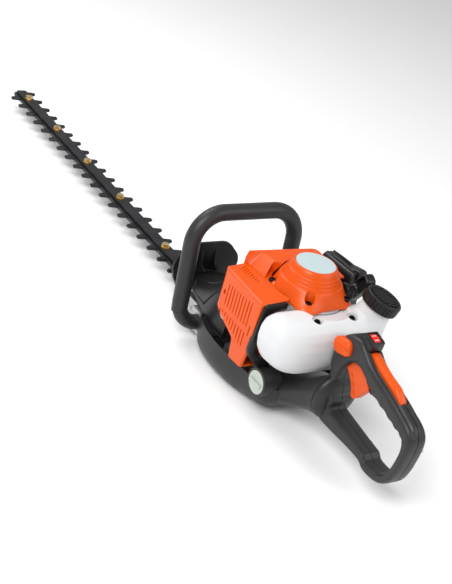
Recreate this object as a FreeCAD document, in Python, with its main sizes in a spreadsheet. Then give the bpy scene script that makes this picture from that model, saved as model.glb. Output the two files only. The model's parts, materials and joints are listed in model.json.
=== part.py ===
"""Petrol hedge trimmer with two reciprocating double-sided blades, as an assembly of separate pieces.

Frame: +X runs forward along the blades, +Y to the machine's left, +Z up. The origin is on the
ground plane, straight under the vertical crankshaft. All lengths are millimetres.
"""
import FreeCAD, Part
import math
import os

Vector = FreeCAD.Vector
Rotation = FreeCAD.Rotation
Placement = FreeCAD.Placement

DRIVING = [
    # blades and guide bar
    ("tooth_pitch", 35.0),
    ("tooth_count", 20),
    ("tooth_first", 917.0),
    ("tooth_stagger", 16.0),
    ("tooth_reach", 27.5),
    ("tooth_root", 15.0),
    ("tooth_tip", 6.0),
    ("bevel_angle", 28.0),
    ("spine_width", 27.0),
    ("blade_thick", 2.5),
    ("blade_end", 940.0),
    ("bar_end", 938.0),
    ("bar_width", 19.0),
    ("bar_thick", 3.5),
    ("cut_plane", 26.0),
    ("slide_gap", 0.15),
    ("throw", 8.75),
    ("bolt_radius", 4.0),
    # drive train
    ("gear_x", 54.0),
    ("gear_module", 1.5),
    ("gear_teeth", 60),
    ("pinion_teeth", 12),
    ("gear_low", 12.0),
    ("gear_thick", 8.0),
    ("cam_radius", 14.0),
    ("journal_radius", 5.0),
    ("running_gap", 0.05),
    ("case_low", 3.0),
    ("case_wall", 4.0),
    ("lid_low", 29.2),
    ("lid_thick", 5.8),
    ("tongue_half", 24.0),
    ("tongue_end", 232.0),
    ("drum_radius", 30.0),
    ("drum_low", 40.0),
    ("drum_deep", 18.0),
    # engine
    ("engine_low", 62.0),
    ("cylinder_z", 98.0),
    ("case_radius", 30.0),
    ("crank_throw", 12.0),
    ("rod_length", 44.0),
    ("shaft_radius", 6.0),
    ("piston_radius", 16.0),
    ("fin_side", 60.0),
    ("fin_count", 7),
    ("fan_low", 134.0),
    ("fan_radius", 52.0),
    ("flywheel_radius", 36.0),
    ("starter_low", 166.0),
    ("starter_radius", 57.0),
    ("label_radius", 27.5),
    ("top", 211.0),
    ("rope_x", -24.0),
    ("rope_z", 180.0),
    ("rope_radius", 2.0),
    # covers
    ("cover_front", 72.0),
    ("cover_rear", -24.0),
    ("cover_left", 90.0),
    ("shell_wall", 3.0),
    ("guard_x", 232.0),
    ("guard_thick", 4.0),
    ("guard_half", 61.0),
    ("guard_top", 107.0),
    # tank
    ("cap_radius", 25.0),
    ("cap_deep", 14.0),
    ("neck_radius", 20.0),
    # frame and handles
    ("tube_radius", 12.0),
    ("tube_half", 89.0),
    ("tube_shift", -5.0),
    ("tube_high", 195.0),
    ("tube_low", 22.0),
    ("tube_x", 151.0),
    ("tube_lean", 6.0),
    ("swivel_x", -111.0),
    ("swivel_z", 74.0),
    ("collar_radius", 36.0),
    ("grip_half", 15.5),
    ("plug_radius", 16.5),
]

doc = FreeCAD.newDocument("hedge_trimmer")
dims = doc.addObject("Spreadsheet::Sheet", "dims")
for row, (alias, value) in enumerate(DRIVING, start=1):
    dims.set(f"A{row}", alias)
    dims.set(f"B{row}", str(value))
    dims.setAlias(f"B{row}", alias)
doc.recompute()

PIECES = []


def size(alias):
    """A driving dimension as a plain number."""
    return float(getattr(dims, alias))


def piece(label, item):
    """Keep an object as a sub-part of the machine."""
    item.Label = label
    PIECES.append(item)
    return item


def bind(item, **sizes):
    """Set each size of an object, by expression when it is text and by value when it is a number."""
    for name, what in sizes.items():
        if isinstance(what, str):
            item.setExpression(name, what)
        else:
            setattr(item, name, what)
    return item


def put(item, at, rotation=None):
    """Place an object; text coordinates are expressions."""
    fixed = [0.0 if isinstance(value, str) else value for value in at]
    item.Placement = Placement(Vector(*fixed), rotation or Rotation())
    for axis, value in zip("xyz", at):
        if isinstance(value, str):
            item.setExpression(f"Placement.Base.{axis}", value)
    return item


ALONG = {
    "X": Rotation(Vector(0, 1, 0), 90),
    "Y": Rotation(Vector(1, 0, 0), -90),
    "Z": Rotation(),
}


def rod(radius, length, at, along="Z"):
    """A round bar from the point `at`, running the given way."""
    item = doc.addObject("Part::Cylinder", "rod")
    bind(item, Radius=radius, Height=length)
    turn = ALONG[along] if isinstance(along, str) else Rotation(Vector(0, 0, 1), along)
    return put(item, at, turn)


def block(length, width, height, at):
    """A box whose lowest corner is `at`."""
    item = doc.addObject("Part::Box", "block")
    bind(item, Length=length, Width=width, Height=height)
    return put(item, at)


def cone(wide, narrow, length, at, along="Z"):
    """A cone frustum from radius `wide` at `at` to radius `narrow`."""
    item = doc.addObject("Part::Cone", "cone")
    bind(item, Radius1=wide, Radius2=narrow, Height=length)
    turn = ALONG[along] if isinstance(along, str) else Rotation(Vector(0, 0, 1), along)
    return put(item, at, turn)


def hexagon(radius, length, at, along="Z"):
    """A hexagonal prism, radius across corners."""
    item = doc.addObject("Part::Prism", "hexagon")
    bind(item, Circumradius=radius, Height=length)
    item.Polygon = 6
    return put(item, at, ALONG[along])


def join(*items):
    """Several solids made one."""
    item = doc.addObject("Part::MultiFuse", "join")
    item.Shapes = list(items)
    item.Refine = True
    return item


def group(*items):
    """Separate solids kept together in one node."""
    item = doc.addObject("Part::Compound", "group")
    item.Links = list(items)
    return item


def cut(base, *tools):
    """The base with every tool taken away."""
    item = doc.addObject("Part::Cut", "cut")
    item.Base = base
    item.Tool = tools[0] if len(tools) == 1 else join(*tools)
    return item


def made(shape):
    """A solid that no primitive or body feature describes."""
    item = doc.addObject("Part::Feature", "made")
    item.Shape = shape
    return item


def rounded(corners, radius):
    """Edges of a closed outline, its corners (x, y) joined by tangent arcs."""
    points = [Vector(x, y, 0) for x, y in corners]
    arcs = []
    for index, corner in enumerate(points):
        before = (points[index - 1] - corner).normalize()
        after = (points[(index + 1) % len(points)] - corner).normalize()
        half = before.getAngle(after) / 2
        middle = (before + after).normalize()
        reach = radius / math.tan(half)
        peak = corner + middle * (radius / math.sin(half) - radius)
        arcs.append((corner + before * reach, peak, corner + after * reach))
    edges = []
    for index, arc in enumerate(arcs):
        edges.append(Part.Arc(*arc))
        edges.append(Part.LineSegment(arc[2], arcs[(index + 1) % len(arcs)][0]))
    return edges


def slot(middle, half_length, half_width):
    """Edges of a slot along X with round ends."""
    return rounded(rectangle(middle, 0, half_length, half_width), half_width * 0.999)


def rectangle(x, y, half_x, half_y):
    """The corners of a rectangle about its middle."""
    return [
        (x - half_x, y - half_y),
        (x + half_x, y - half_y),
        (x + half_x, y + half_y),
        (x - half_x, y + half_y),
    ]


def sketch(body, edges, plane="XY_Plane"):
    """A sketch on one of the body's own planes."""
    item = body.newObject("Sketcher::SketchObject", "sketch")
    origin = [face for face in body.Origin.OriginFeatures if face.Role == plane][0]
    item.AttachmentSupport = [(origin, "")]
    item.MapMode = "FlatFace"
    item.addGeometry(edges, False)
    return item


def pad(body, edges, length, down=False, taper=None):
    """A pad of an outline drawn on the body's ground plane."""
    item = body.newObject("PartDesign::Pad", "pad")
    item.Profile = sketch(body, edges)
    bind(item, Length=length)
    item.Reversed = down
    if taper:
        bind(item, TaperAngle=taper)
    return item


def pocket(body, edges, length, up=True):
    """A pocket into the body from its ground plane."""
    item = body.newObject("PartDesign::Pocket", "pocket")
    item.Profile = sketch(body, edges)
    bind(item, Length=length)
    item.Reversed = up
    return item


def plate(outline, thickness, at, radius=2.0, holes=(), rotation=None):
    """A flat plate with round holes (x, y, radius), lying on its ground plane."""
    body = doc.addObject("PartDesign::Body", "plate")
    put(body, at, rotation)
    pad(body, rounded(outline, radius), thickness)
    if holes:
        circles = [Part.Circle(Vector(x, y, 0), Vector(0, 0, 1), r) for x, y, r in holes]
        pocket(body, circles, thickness)
    return body


def ring(points):
    """A closed smooth curve through the points."""
    curve = Part.BSplineCurve()
    curve.interpolate([Vector(*point) for point in points], PeriodicFlag=True)
    return Part.Wire([curve.toShape()])


def loft(rings, ruled=False):
    """A solid skin over closed curves."""
    return Part.makeLoft(rings, True, ruled)


def shrink(points, distance):
    """A closed plane outline moved inwards (outwards when negative)."""
    count = len(points)
    area = sum(
        points[i - 1][0] * points[i][1] - points[i][0] * points[i - 1][1] for i in range(count)
    )
    side = distance if area > 0 else -distance
    moved = []
    for index, (u, v) in enumerate(points):
        before = points[index - 1]
        after = points[(index + 1) % count]
        du, dv = after[0] - before[0], after[1] - before[1]
        length = math.hypot(du, dv)
        moved.append((u - side * dv / length, v + side * du / length))
    return moved


def oval(half_u, half_v, power, count=16):
    """Points of a rounded rectangle about the origin, squarer as the power grows."""
    points = []
    for index in range(count):
        angle = 2 * math.pi * index / count
        cosine, sine = math.cos(angle), math.sin(angle)
        u = half_u * math.copysign(abs(cosine) ** (2 / power), cosine)
        v = half_v * math.copysign(abs(sine) ** (2 / power), sine)
        points.append((u, v))
    return points


def polygon(points, at, way):
    """A prism over straight edges; points (x, z) stand on the plane y = at and run along +Y."""
    corners = [Vector(x, at, z) for x, z in points]
    face = Part.Face(Part.makePolygon(corners + [corners[0]]))
    return face.extrude(Vector(0, way, 0))


# ---------------------------------------------------------------- blades and bar

NUT_PLACES = (347.0, 510.0, 640.0, 770.0, 900.0)
CASE_BOLT_PLACES = (130.0, 200.0)


def tooth(middle, side):
    """One cutting tooth: wide at the blade's spine and narrow at its tip."""
    root = size("tooth_root") / 2
    tip = size("tooth_tip") / 2
    inner = side * (size("spine_width") / 2 - 2)
    outer = side * size("tooth_reach")
    corners = [(middle - root, inner), (middle + root, inner), (middle + tip, outer), (middle - tip, outer)]
    if side < 0:
        corners.reverse()
    return rounded(corners, 1.8)


def blade(label, height, down):
    """One reciprocating blade: yoke, slotted spine and a row of teeth along both edges."""
    body = doc.addObject("PartDesign::Body", label)
    put(body, (0, 0, height))
    half = size("spine_width") / 2
    gear_x = size("gear_x")
    yoke_half = size("cam_radius") + 8
    outline = [
        (gear_x - yoke_half, -30),
        (gear_x + yoke_half, -30),
        (gear_x + yoke_half + 18, -half),
        (size("blade_end"), -half),
        (size("blade_end"), half),
        (gear_x + yoke_half + 18, half),
        (gear_x + yoke_half, 30),
        (gear_x - yoke_half, 30),
    ]
    pad(body, rounded(outline, 4), "dims.blade_thick", down)
    first = size("tooth_first")
    teeth = pad(
        body,
        tooth(first, 1) + tooth(first + size("tooth_stagger"), -1),
        "dims.blade_thick",
        down,
        "-dims.bevel_angle",
    )
    row = body.newObject("PartDesign::LinearPattern", "row")
    row.Originals = [teeth]
    x_axis = [axis for axis in body.Origin.OriginFeatures if axis.Role == "X_Axis"][0]
    row.Direction = (x_axis, [""])
    row.Reversed = True
    row.setExpression("Length", "dims.tooth_pitch * (dims.tooth_count - 1)")
    row.Occurrences = int(size("tooth_count"))
    body.Tip = row
    travel = size("throw") + size("bolt_radius") + 0.6
    slots = []
    for place in CASE_BOLT_PLACES + NUT_PLACES:
        slots += slot(place, travel, size("bolt_radius") + 0.4)
    reach = size("cam_radius")
    slots += rounded(rectangle(gear_x, 0, reach + 2.1, reach + size("throw") + 1.2), 5)
    pocket(body, slots, "dims.blade_thick", not down)
    piece(label, body)


def guide_bar():
    """The fixed bar that the blades slide under, flared where it leaves the hand guard."""
    half = size("bar_width") / 2
    flare = half + 9
    outline = [
        (108, -flare),
        (250, -flare),
        (292, -half),
        (size("bar_end"), -half),
        (size("bar_end"), half),
        (292, half),
        (250, flare),
        (108, flare),
    ]
    radius = size("bolt_radius") + 0.1
    holes = [(place, 0, radius) for place in CASE_BOLT_PLACES]
    holes += [(place, 0, 3.1) for place in NUT_PLACES]
    height = "dims.cut_plane + 2 * dims.slide_gap + dims.blade_thick + 0.15"
    piece("guide_bar", plate(outline, "dims.bar_thick", (0, 0, height), 3.0, holes))


def blade_bolts():
    """Shoulder bolts that hold the two blades up against the guide bar."""
    low = size("cut_plane") - size("blade_thick") - 2 * size("slide_gap") - 0.15
    bar_low = size("cut_plane") + size("blade_thick") + 2 * size("slide_gap") + 0.15
    bolts = []
    nuts = []
    for place in NUT_PLACES:
        head = rod(7.0, 3.0, (place, 0, low - 3.0))
        shoulder = rod("dims.bolt_radius", bar_low - low, (place, 0, low))
        thread = rod(3.0, 9.5, (place, 0, bar_low))
        bolts.append(join(head, shoulder, thread))
        top = bar_low + size("bar_thick")
        washer = rod(7.0, 1.0, (place, 0, top))
        nut = hexagon(6.2, 4.6, (place, 0, top + 1.0))
        nuts.append(cut(join(washer, nut), rod(3.05, 7.0, (place, 0, top - 0.5))))
    piece("blade_bolts", group(*bolts))
    piece("blade_nuts", group(*nuts))


# ---------------------------------------------------------------- gear case


def case_outline(extra):
    """The gear case's plan: round over the large gear, narrowing to the pinion."""
    wide = 48.5 + extra
    narrow = 17.0 + extra
    gear_x = size("gear_x")
    lean = math.acos((wide - narrow) / gear_x)
    side = Vector(math.cos(lean), math.sin(lean), 0) * -1
    side.y = abs(side.y)
    front = Vector(gear_x + wide, 0, 0)
    upper = (Vector(gear_x, 0, 0) + side * wide, side * narrow)
    lower = [Vector(point.x, -point.y, 0) for point in upper]
    return [
        Part.Arc(lower[0], front, upper[0]),
        Part.LineSegment(upper[0], upper[1]),
        Part.Arc(upper[1], Vector(-narrow, 0, 0), lower[1]),
        Part.LineSegment(lower[1], lower[0]),
    ]


def case_body(label, edges, length, height):
    """A body with one pad over the gear case's plan."""
    body = doc.addObject("PartDesign::Body", label)
    put(body, (0, 0, height))
    pad(body, edges, length)
    return body


def gear_case():
    """The cast gear case: a pan under the blades, a lid over them, and a tongue that holds the bar."""
    gear_x = size("gear_x")
    front = gear_x + 50
    pan = case_body("pan", case_outline(4), "dims.lid_low - dims.case_low", "dims.case_low")
    well = case_body("well", case_outline(0), 40, "dims.case_low + dims.case_wall")
    low = "dims.cut_plane - dims.blade_thick - 2 * dims.slide_gap - 0.15"
    gate = block(20, 46, 20, (front - 8, -23, low))
    tongue_place = (front, "-dims.tongue_half", 12)
    tongue = block(f"dims.tongue_end - {front}", "2 * dims.tongue_half", 11, tongue_place)
    seats = []
    for x in (0, gear_x):
        seats.append(cut(rod(14, 4, (x, 0, 7)), rod(11, 5, (x, 0, 7))))
    holes = [rod(4.1, 20, (place, 0, 8)) for place in CASE_BOLT_PLACES]
    handle_x = size("tube_x") + size("tube_low") * math.sin(math.radians(size("tube_lean")))
    sockets = []
    for near in (24, -50):
        sockets.append(block(36, 26, 34, (handle_x - 18, near, 5)))
    handle_z = size("tube_low") * math.cos(math.radians(size("tube_lean")))
    tube_bore = rod("dims.tube_radius", 140, (handle_x, -70, handle_z), "Y")
    trimmed = cut(tongue, block(300, 60, 10, (front - 10, -30, low)), well, *holes)
    saddles = cut(join(*sockets), cut(tube_bore, block(80, 44, 40, (120, -22, 0))))
    piece("gear_case", join(cut(pan, well, gate), trimmed, saddles, *seats))

    lid = case_body("lid", case_outline(4), "dims.lid_thick", "dims.lid_low")
    boss = rod(15, "dims.lid_thick + 2", (gear_x, 0, "dims.lid_low"))
    bar_top = "dims.cut_plane + 2 * dims.slide_gap + dims.blade_thick + 0.15 + dims.bar_thick"
    arm_place = (front - 6, "-dims.tongue_half", bar_top)
    arm = block(f"dims.tongue_end - {front - 6}", "2 * dims.tongue_half", 6, arm_place)
    bores = [rod(11, 4.1, (x, 0, "dims.lid_low - 0.1")) for x in (0, gear_x)]
    bores.append(rod("dims.journal_radius + 1", 30, (0, 0, 20)))
    bores.append(rod("dims.journal_radius + 1", 30, (gear_x, 0, 20)))
    holes = [rod(4.1, 20, (place, 0, 30)) for place in CASE_BOLT_PLACES]
    relief = block(200, 80, bar_top + " - dims.lid_low", (front + 3.8, -40, "dims.lid_low"))
    piece("gear_case_lid", cut(join(lid, boss, arm), relief, *bores, *holes))


def gear_bearings():
    """Four ring bearings that carry the gear and the pinion shaft."""
    rings = []
    for x in (0, size("gear_x")):
        for height in ("dims.case_low + dims.case_wall", "dims.lid_low"):
            outer = rod(11, 4, (x, 0, height))
            bore = rod("dims.journal_radius + dims.running_gap", 6, (x, 0, height + " - 1"))
            rings.append(cut(outer, bore))
    piece("gear_bearings", group(*rings))


def case_bolts():
    """Two long bolts through the tongue and the bar, and six round the gear case's lid."""
    bolts = []
    for place in CASE_BOLT_PLACES:
        shank = rod("dims.bolt_radius", 33, (place, 0, 9))
        bolts.append(join(shank, hexagon(7.5, 5, (place, 0, 38.45)), hexagon(7.5, 3, (place, 0, 9))))
    piece("case_bolts", group(*bolts))


def toothed_ring(teeth, turn):
    """A spur gear's outline: straight-flanked teeth between a root and a tip circle."""
    module = size("gear_module")
    pitch = module * teeth / 2
    stations = [(pitch - 1.2 * module, 1.42), (pitch, 0.98), (pitch + 0.85 * module, 0.5)]
    corners = []
    for index in range(teeth):
        middle = 2 * math.pi * index / teeth + turn
        flank = [(radius, -half / radius) for radius, half in stations]
        flank += [(radius, half / radius) for radius, half in reversed(stations)]
        for radius, angle in flank:
            corners.append(Vector(radius * math.cos(middle + angle), radius * math.sin(middle + angle), 0))
    return [Part.LineSegment(corners[i - 1], corners[i]) for i in range(len(corners))]


def spur(label, teeth, at, turn):
    """A toothed wheel as a body of its own."""
    body = doc.addObject("PartDesign::Body", label)
    put(body, at)
    pad(body, toothed_ring(teeth, turn), "dims.gear_thick")
    return body


def drive_gear():
    """The large gear with one eccentric under the other, half a turn apart, and its journals."""
    gear_x = size("gear_x")
    wheel = spur("wheel", int(size("gear_teeth")), ("dims.gear_x", 0, "dims.gear_low"), 0)
    gear_top = size("gear_low") + size("gear_thick")
    lower_cam = rod("dims.cam_radius", f"dims.cut_plane - {gear_top}", (gear_x, "-dims.throw", gear_top))
    upper_cam = rod("dims.cam_radius", 2.9, (gear_x, "dims.throw", "dims.cut_plane"))
    axle = rod("dims.journal_radius", 27, (gear_x, 0, 7.2))
    shoulder = rod(9, 1, (gear_x, 0, 11.3))
    windows = []
    for index in range(6):
        angle = math.radians(60 * index)
        windows.append(rod(8, 12, (gear_x + 29 * math.cos(angle), 29 * math.sin(angle), 10)))
    piece("drive_gear", join(cut(wheel, *windows), lower_cam, upper_cam, axle, shoulder))


def clutch_drum():
    """The clutch's drum with its shaft and pinion."""
    half_tooth = math.pi / size("pinion_teeth")
    pinion = spur("pinion", int(size("pinion_teeth")), (0, 0, "dims.gear_low"), half_tooth)
    shaft = rod("dims.journal_radius", "dims.drum_low - 6.2", (0, 0, 7.2))
    cup = cut(
        rod("dims.drum_radius", "dims.drum_deep", (0, 0, "dims.drum_low")),
        rod("dims.drum_radius - 2", "dims.drum_deep", (0, 0, "dims.drum_low + 3")),
    )
    piece("clutch_drum", join(pinion, shaft, cup))


def clutch():
    """The hub on the crankshaft's lower end and its two flyweights, inside the drum."""
    low = size("drum_low") + 5
    shoes = []
    for side in (0, 180):
        sector = doc.addObject("Part::Cylinder", "shoe")
        bind(sector, Radius="dims.drum_radius - 3", Height=11, Angle=150)
        put(sector, (0, 0, low), Rotation(Vector(0, 0, 1), side - 75))
        shoes.append(cut(sector, rod(13, 20, (0, 0, low - 2))))
    spider = join(rod(12.8, 11, (0, 0, low)), *[rod(2.5, 13, (side * 19, 0, low - 1)) for side in (-1, 1)])
    bore = rod("dims.shaft_radius", 30, (0, 0, low - 5))
    hub = cut(join(spider, block(44, 6, 1.5, (-22, -3, low + 11))), bore)
    piece("clutch", group(hub, *shoes))


# ---------------------------------------------------------------- engine


def crankcase():
    """The crankcase, bored for both main bearings and for the cylinder's spigot."""
    middle = "dims.cylinder_z"
    shell = rod("dims.case_radius", "dims.fan_low - dims.engine_low", (0, 0, "dims.engine_low"))
    flange = rod("dims.drum_radius + 6", "dims.engine_low + 4 - 35", (0, 0, 35))
    drum_room = rod("dims.drum_radius + 3", "dims.engine_low - 34", (0, 0, 34))
    face = block(30, 54, 54, (0, -27, "dims.cylinder_z - 27"))
    room = rod(26, 40, (0, 0, middle + " - 20"))
    bore = rod("dims.piston_radius + 1.5", 40, (0, 0, middle), "X")
    seats = [rod(16, 12, (0, 0, 66)), rod(16, 12, (0, 0, 118)), rod(8, 90, (0, 0, 55))]
    piece("crankcase", cut(join(shell, flange, face), drum_room, room, bore, *seats))
    rings = []
    for height in (66, 118):
        bore = rod("dims.shaft_radius + dims.running_gap", 14, (0, 0, height - 1))
        rings.append(cut(rod(16, 12, (0, 0, height)), bore))
    piece("main_bearings", group(*rings))


def crankshaft():
    """The vertical crankshaft, its pin a quarter turn from the cylinder's line at rest."""
    middle = size("cylinder_z")
    lower = rod("dims.shaft_radius", 38, (0, 0, size("drum_low") + 4))
    upper = rod("dims.shaft_radius", 58, (0, 0, middle + 12))
    webs = [rod(20, 12, (0, 0, middle - 18)), rod(20, 12, (0, 0, middle + 6))]
    pin = rod(5, 14, (0, "dims.crank_throw", middle - 7))
    piece("crankshaft", join(lower, upper, *webs, pin))


def wrist_x():
    """Where the wrist pin stands at mid-stroke."""
    return math.sqrt(size("rod_length") ** 2 - size("crank_throw") ** 2)


def piston_set():
    """Piston, wrist pin and connecting rod."""
    pin_x = wrist_x()
    middle = size("cylinder_z")
    crown = rod("dims.piston_radius - 0.05", 19, (pin_x - 9, 0, middle), "X")
    inside = rod("dims.piston_radius - 3", 17.5, (pin_x - 10, 0, middle), "X")
    bosses = [rod(7, 8, (pin_x, 0, middle - 14)), rod(7, 8, (pin_x, 0, middle + 6))]
    pin_hole = rod(4, 60, (pin_x, 0, middle - 30))
    piece("piston", cut(join(cut(crown, inside), *bosses), pin_hole))
    piece("wrist_pin", rod(4, 30, (pin_x, 0, middle - 15)))
    throw = size("crank_throw")
    small_end = rod(7, 8, (pin_x, 0, middle - 4))
    big_end = rod(10, 8, (0, throw * 0.86, middle - 4))
    lean = math.degrees(math.atan2(-throw * 0.86, pin_x))
    shank = block(pin_x, 6, 8, (0, 0, 0))
    shift = 3 * math.sin(math.radians(lean))
    put(shank, (shift, throw * 0.86 - 3, middle - 4), Rotation(Vector(0, 0, 1), lean))
    open_pin = rod(7.4, 20, (0, throw * 0.86, middle - 10))
    closed_pin = rod(4, 20, (pin_x, 0, middle - 10))
    piece("connecting_rod", cut(join(small_end, big_end, shank), closed_pin, open_pin))


def cylinder():
    """The finned cylinder with its head and the two port flanges."""
    middle = "dims.cylinder_z"
    barrel = rod(20, 38, (30, 0, middle), "X")
    foot = block(4, 52, 52, (30, -26, middle + " - 26"))
    head = rod(24, 4, (68, 0, middle), "X")
    fins = []
    for index in range(int(size("fin_count"))):
        corner = (37 + 4.6 * index, "-dims.fin_side / 2", middle + " - dims.fin_side / 2")
        fins.append(block(1.6, "dims.fin_side", "dims.fin_side", corner))
    exhaust = block(22, 18, 24, (40, 18, middle + " - 12"))
    intake = block(22, 18, 24, (40, -36, middle + " - 12"))
    bore = rod("dims.piston_radius", 37, (29, 0, middle), "X")
    piece("cylinder", cut(join(barrel, foot, head, exhaust, intake, *fins), bore))


def spark_plug():
    """The spark plug in the cylinder head, its rubber cap, and the coil beside the flywheel."""
    middle = "dims.cylinder_z"
    nut = hexagon(9, 6, (72, 0, middle), "X")
    insulator = cone(5.5, 3.5, 14, (78, 0, middle), "X")
    piece("spark_plug", join(nut, insulator))
    sleeve = rod(8, 18, (80, 0, middle), "X")
    elbow = rod(6.5, 16, (92, 0, "dims.cylinder_z + 2"))
    hollow = cone(5.5, 3.5, 14, (78, 0, middle), "X")
    piece("spark_plug_cap", cut(join(sleeve, elbow), hollow))


def flywheel():
    """The magneto flywheel with its fan, and the housing round it."""
    disc = rod("dims.flywheel_radius", 14, (0, 0, "dims.fan_low + 5"))
    hub = rod(12, 22, (0, 0, "dims.fan_low + 5"))
    vanes = []
    for index in range(12):
        vane = block(20, 2, 9, (0, 0, 0))
        angle = 30.0 * index
        root = Vector(14 * math.cos(math.radians(angle)), 14 * math.sin(math.radians(angle)), 0)
        put(vane, (root.x, root.y, "dims.fan_low + 18.5"), Rotation(Vector(0, 0, 1), angle))
        vanes.append(vane)
    piece("flywheel", cut(join(disc, hub, *vanes), rod("dims.shaft_radius", 80, (0, 0, 120))))
    wall = cut(
        rod("dims.fan_radius", "dims.starter_low - dims.fan_low", (0, 0, "dims.fan_low")),
        rod("dims.fan_radius - 3", 60, (0, 0, "dims.fan_low + 3")),
        rod(16, 20, (0, 0, "dims.fan_low - 5")),
    )
    piece("fan_housing", wall)
    coil = block(28, 9.5, 13, (-14, "dims.flywheel_radius + 0.6", "dims.fan_low + 5"))
    piece("ignition_coil", join(coil, rod(4, 8, (0, 44, "dims.fan_low + 3"))))


def muffler():
    """The silencer on the exhaust port, behind the slatted face."""
    upright = Rotation(Vector(1, 0, 0), -90)
    piece("muffler", plate(rectangle(0, 0, 24, 20), 45, (42, 36, 112), 6, rotation=upright))


def intake():
    """Carburettor, air-filter base, filter and the black cover over them, with its controls."""
    middle = size("cylinder_z")
    body = block(32, 30, 34, (35, -66, middle - 17))
    bowl = rod(12, 6, (51, -53, middle - 23))
    piece("carburettor", join(body, bowl))
    base = block(68, 3, 84, (2, -69, middle - 22))
    piece("filter_base", base)
    piece("air_filter", block(54, 12, 62, (8, -81, middle - 12)))
    outline = [(0, 74), (72, 74), (72, 176), (60, 184), (8, 184), (0, 172)]
    outer = polygon(outline, -98, 29)
    inner = polygon(shrink(outline, 3), -95, 26)
    shell = outer.cut(inner)
    cover = made(shell)
    piece("filter_cover", cut(cover, rod(4.2, 20, (36, -104, 129), "Y")))
    knob = join(rod(9, 3, (36, -101.3, 129), "Y"), rod(4, 14, (36, -99, 129), "Y"))
    piece("filter_knob", knob)
    lever = join(rod(3, 11, (10, -65.6, 150), "Y"), block(5, 3, 25, (7.5, -57.6, 140)))
    piece("choke_lever", lever)
    piece("primer_bulb", rod(7, 8, (55, -58, middle + 20.4)))


# ---------------------------------------------------------------- starter


def starter():
    """Recoil starter: housing, label disc, pulley, spring, rope guide, rope and grip."""
    profile = [
        (57, 166), (57, 172), (52, 174), (50, 180), (44, 188),
        (42, 196), (36, 199), (34, 206), (29.5, 209), (29.5, 211),
    ]
    inner = [(54, 166), (54, 169), (48, 172), (46.5, 178), (41, 186), (38.5, 194), (33, 197), (31, 203)]
    outline = [(0, 166), *profile, (0, 211)]
    solid = revolve(outline)
    hollow = revolve([(0, 160), (54, 160), *inner, (0, 203)])
    shell = made(solid.cut(hollow))
    seat = rod(28, 2, (0, 0, "dims.top - 1"))
    rope_hole = rod(7, 30, ("dims.rope_x", -60, "dims.rope_z"), "Y")
    lugs = []
    for x, y in SCREW_PLACES:
        lugs.append(rod(6, 7, (x, y, 166)))
    holes = [rod(2.6, 20, (x, y, 160)) for x, y in SCREW_PLACES]
    holes += [rod(5.5, 20, (x, y, 173)) for x, y in SCREW_PLACES]
    housing = cut(join(shell, *lugs), seat, rope_hole, *holes)
    post = rod(5, 36, (0, 0, 168.5))
    piece("starter_housing", join(housing, post))
    piece("label_disc", rod("dims.label_radius", 1, (0, 0, "dims.top - 1")))
    wheel = cut(rod(26, 12, (0, 0, 174)), rod(5.05, 30, (0, 0, 165)))
    core = rod("-dims.rope_x - dims.rope_radius - 0.5", 9, (0, 0, "dims.rope_z - 5"))
    groove = cut(rod(30, 5, (0, 0, "dims.rope_z - 2.5")), core)
    piece("starter_pulley", cut(wheel, groove))
    piece("recoil_spring", cut(rod(21, 6, (0, 0, 187)), rod(9, 10, (0, 0, 185))))
    tube = rod(7, 16, ("dims.rope_x", -58, "dims.rope_z"), "Y")
    lip = rod(9.5, 4, ("dims.rope_x", -62, "dims.rope_z"), "Y")
    way = rod("dims.rope_radius + 0.4", 60, ("dims.rope_x", -80, "dims.rope_z"), "Y")
    piece("rope_guide", cut(join(tube, lip), way))
    screws = []
    for x, y in SCREW_PLACES:
        screws.append(join(rod(4.5, 3.5, (x, y, 173)), rod(2.6, 7, (x, y, 166.2))))
    for y in (-29, 29):
        screws.append(join(rod(4.5, 3.5, (-66, y, 162)), rod(2.6, 3, (-66, y, 160))))
    piece("cover_screws", group(*screws))


SCREW_PLACES = [(20, 48), (-39, 27), (39, -37), (-39, -37)]


def revolve(profile):
    """A solid turned about the crankshaft's axis from (radius, height) corners."""
    corners = [Vector(radius, 0, height) for radius, height in profile]
    face = Part.Face(Part.makePolygon(corners + [corners[0]]))
    return face.revolve(Vector(0, 0, 0), Vector(0, 0, 1), 360)


def starter_pull():
    """The rope's free run and the T-shaped grip on its end."""
    piece("starter_rope", rod("dims.rope_radius", 70, ("dims.rope_x", -74, "dims.rope_z"), "Y"))
    lean = Rotation(Vector(0, 1, 0), -34)
    bar = doc.addObject("Part::Box", "bar")
    bind(bar, Length=15, Width=16, Height=58)
    middle = Vector(size("rope_x"), -70, size("rope_z"))
    put(bar, middle + lean.multVec(Vector(-7.5, -8, -29)), lean)
    hole = rod("dims.rope_radius", 90, ("dims.rope_x", -90, "dims.rope_z"), "Y")
    piece("starter_grip", cut(bar, hole))


# ---------------------------------------------------------------- covers


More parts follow.
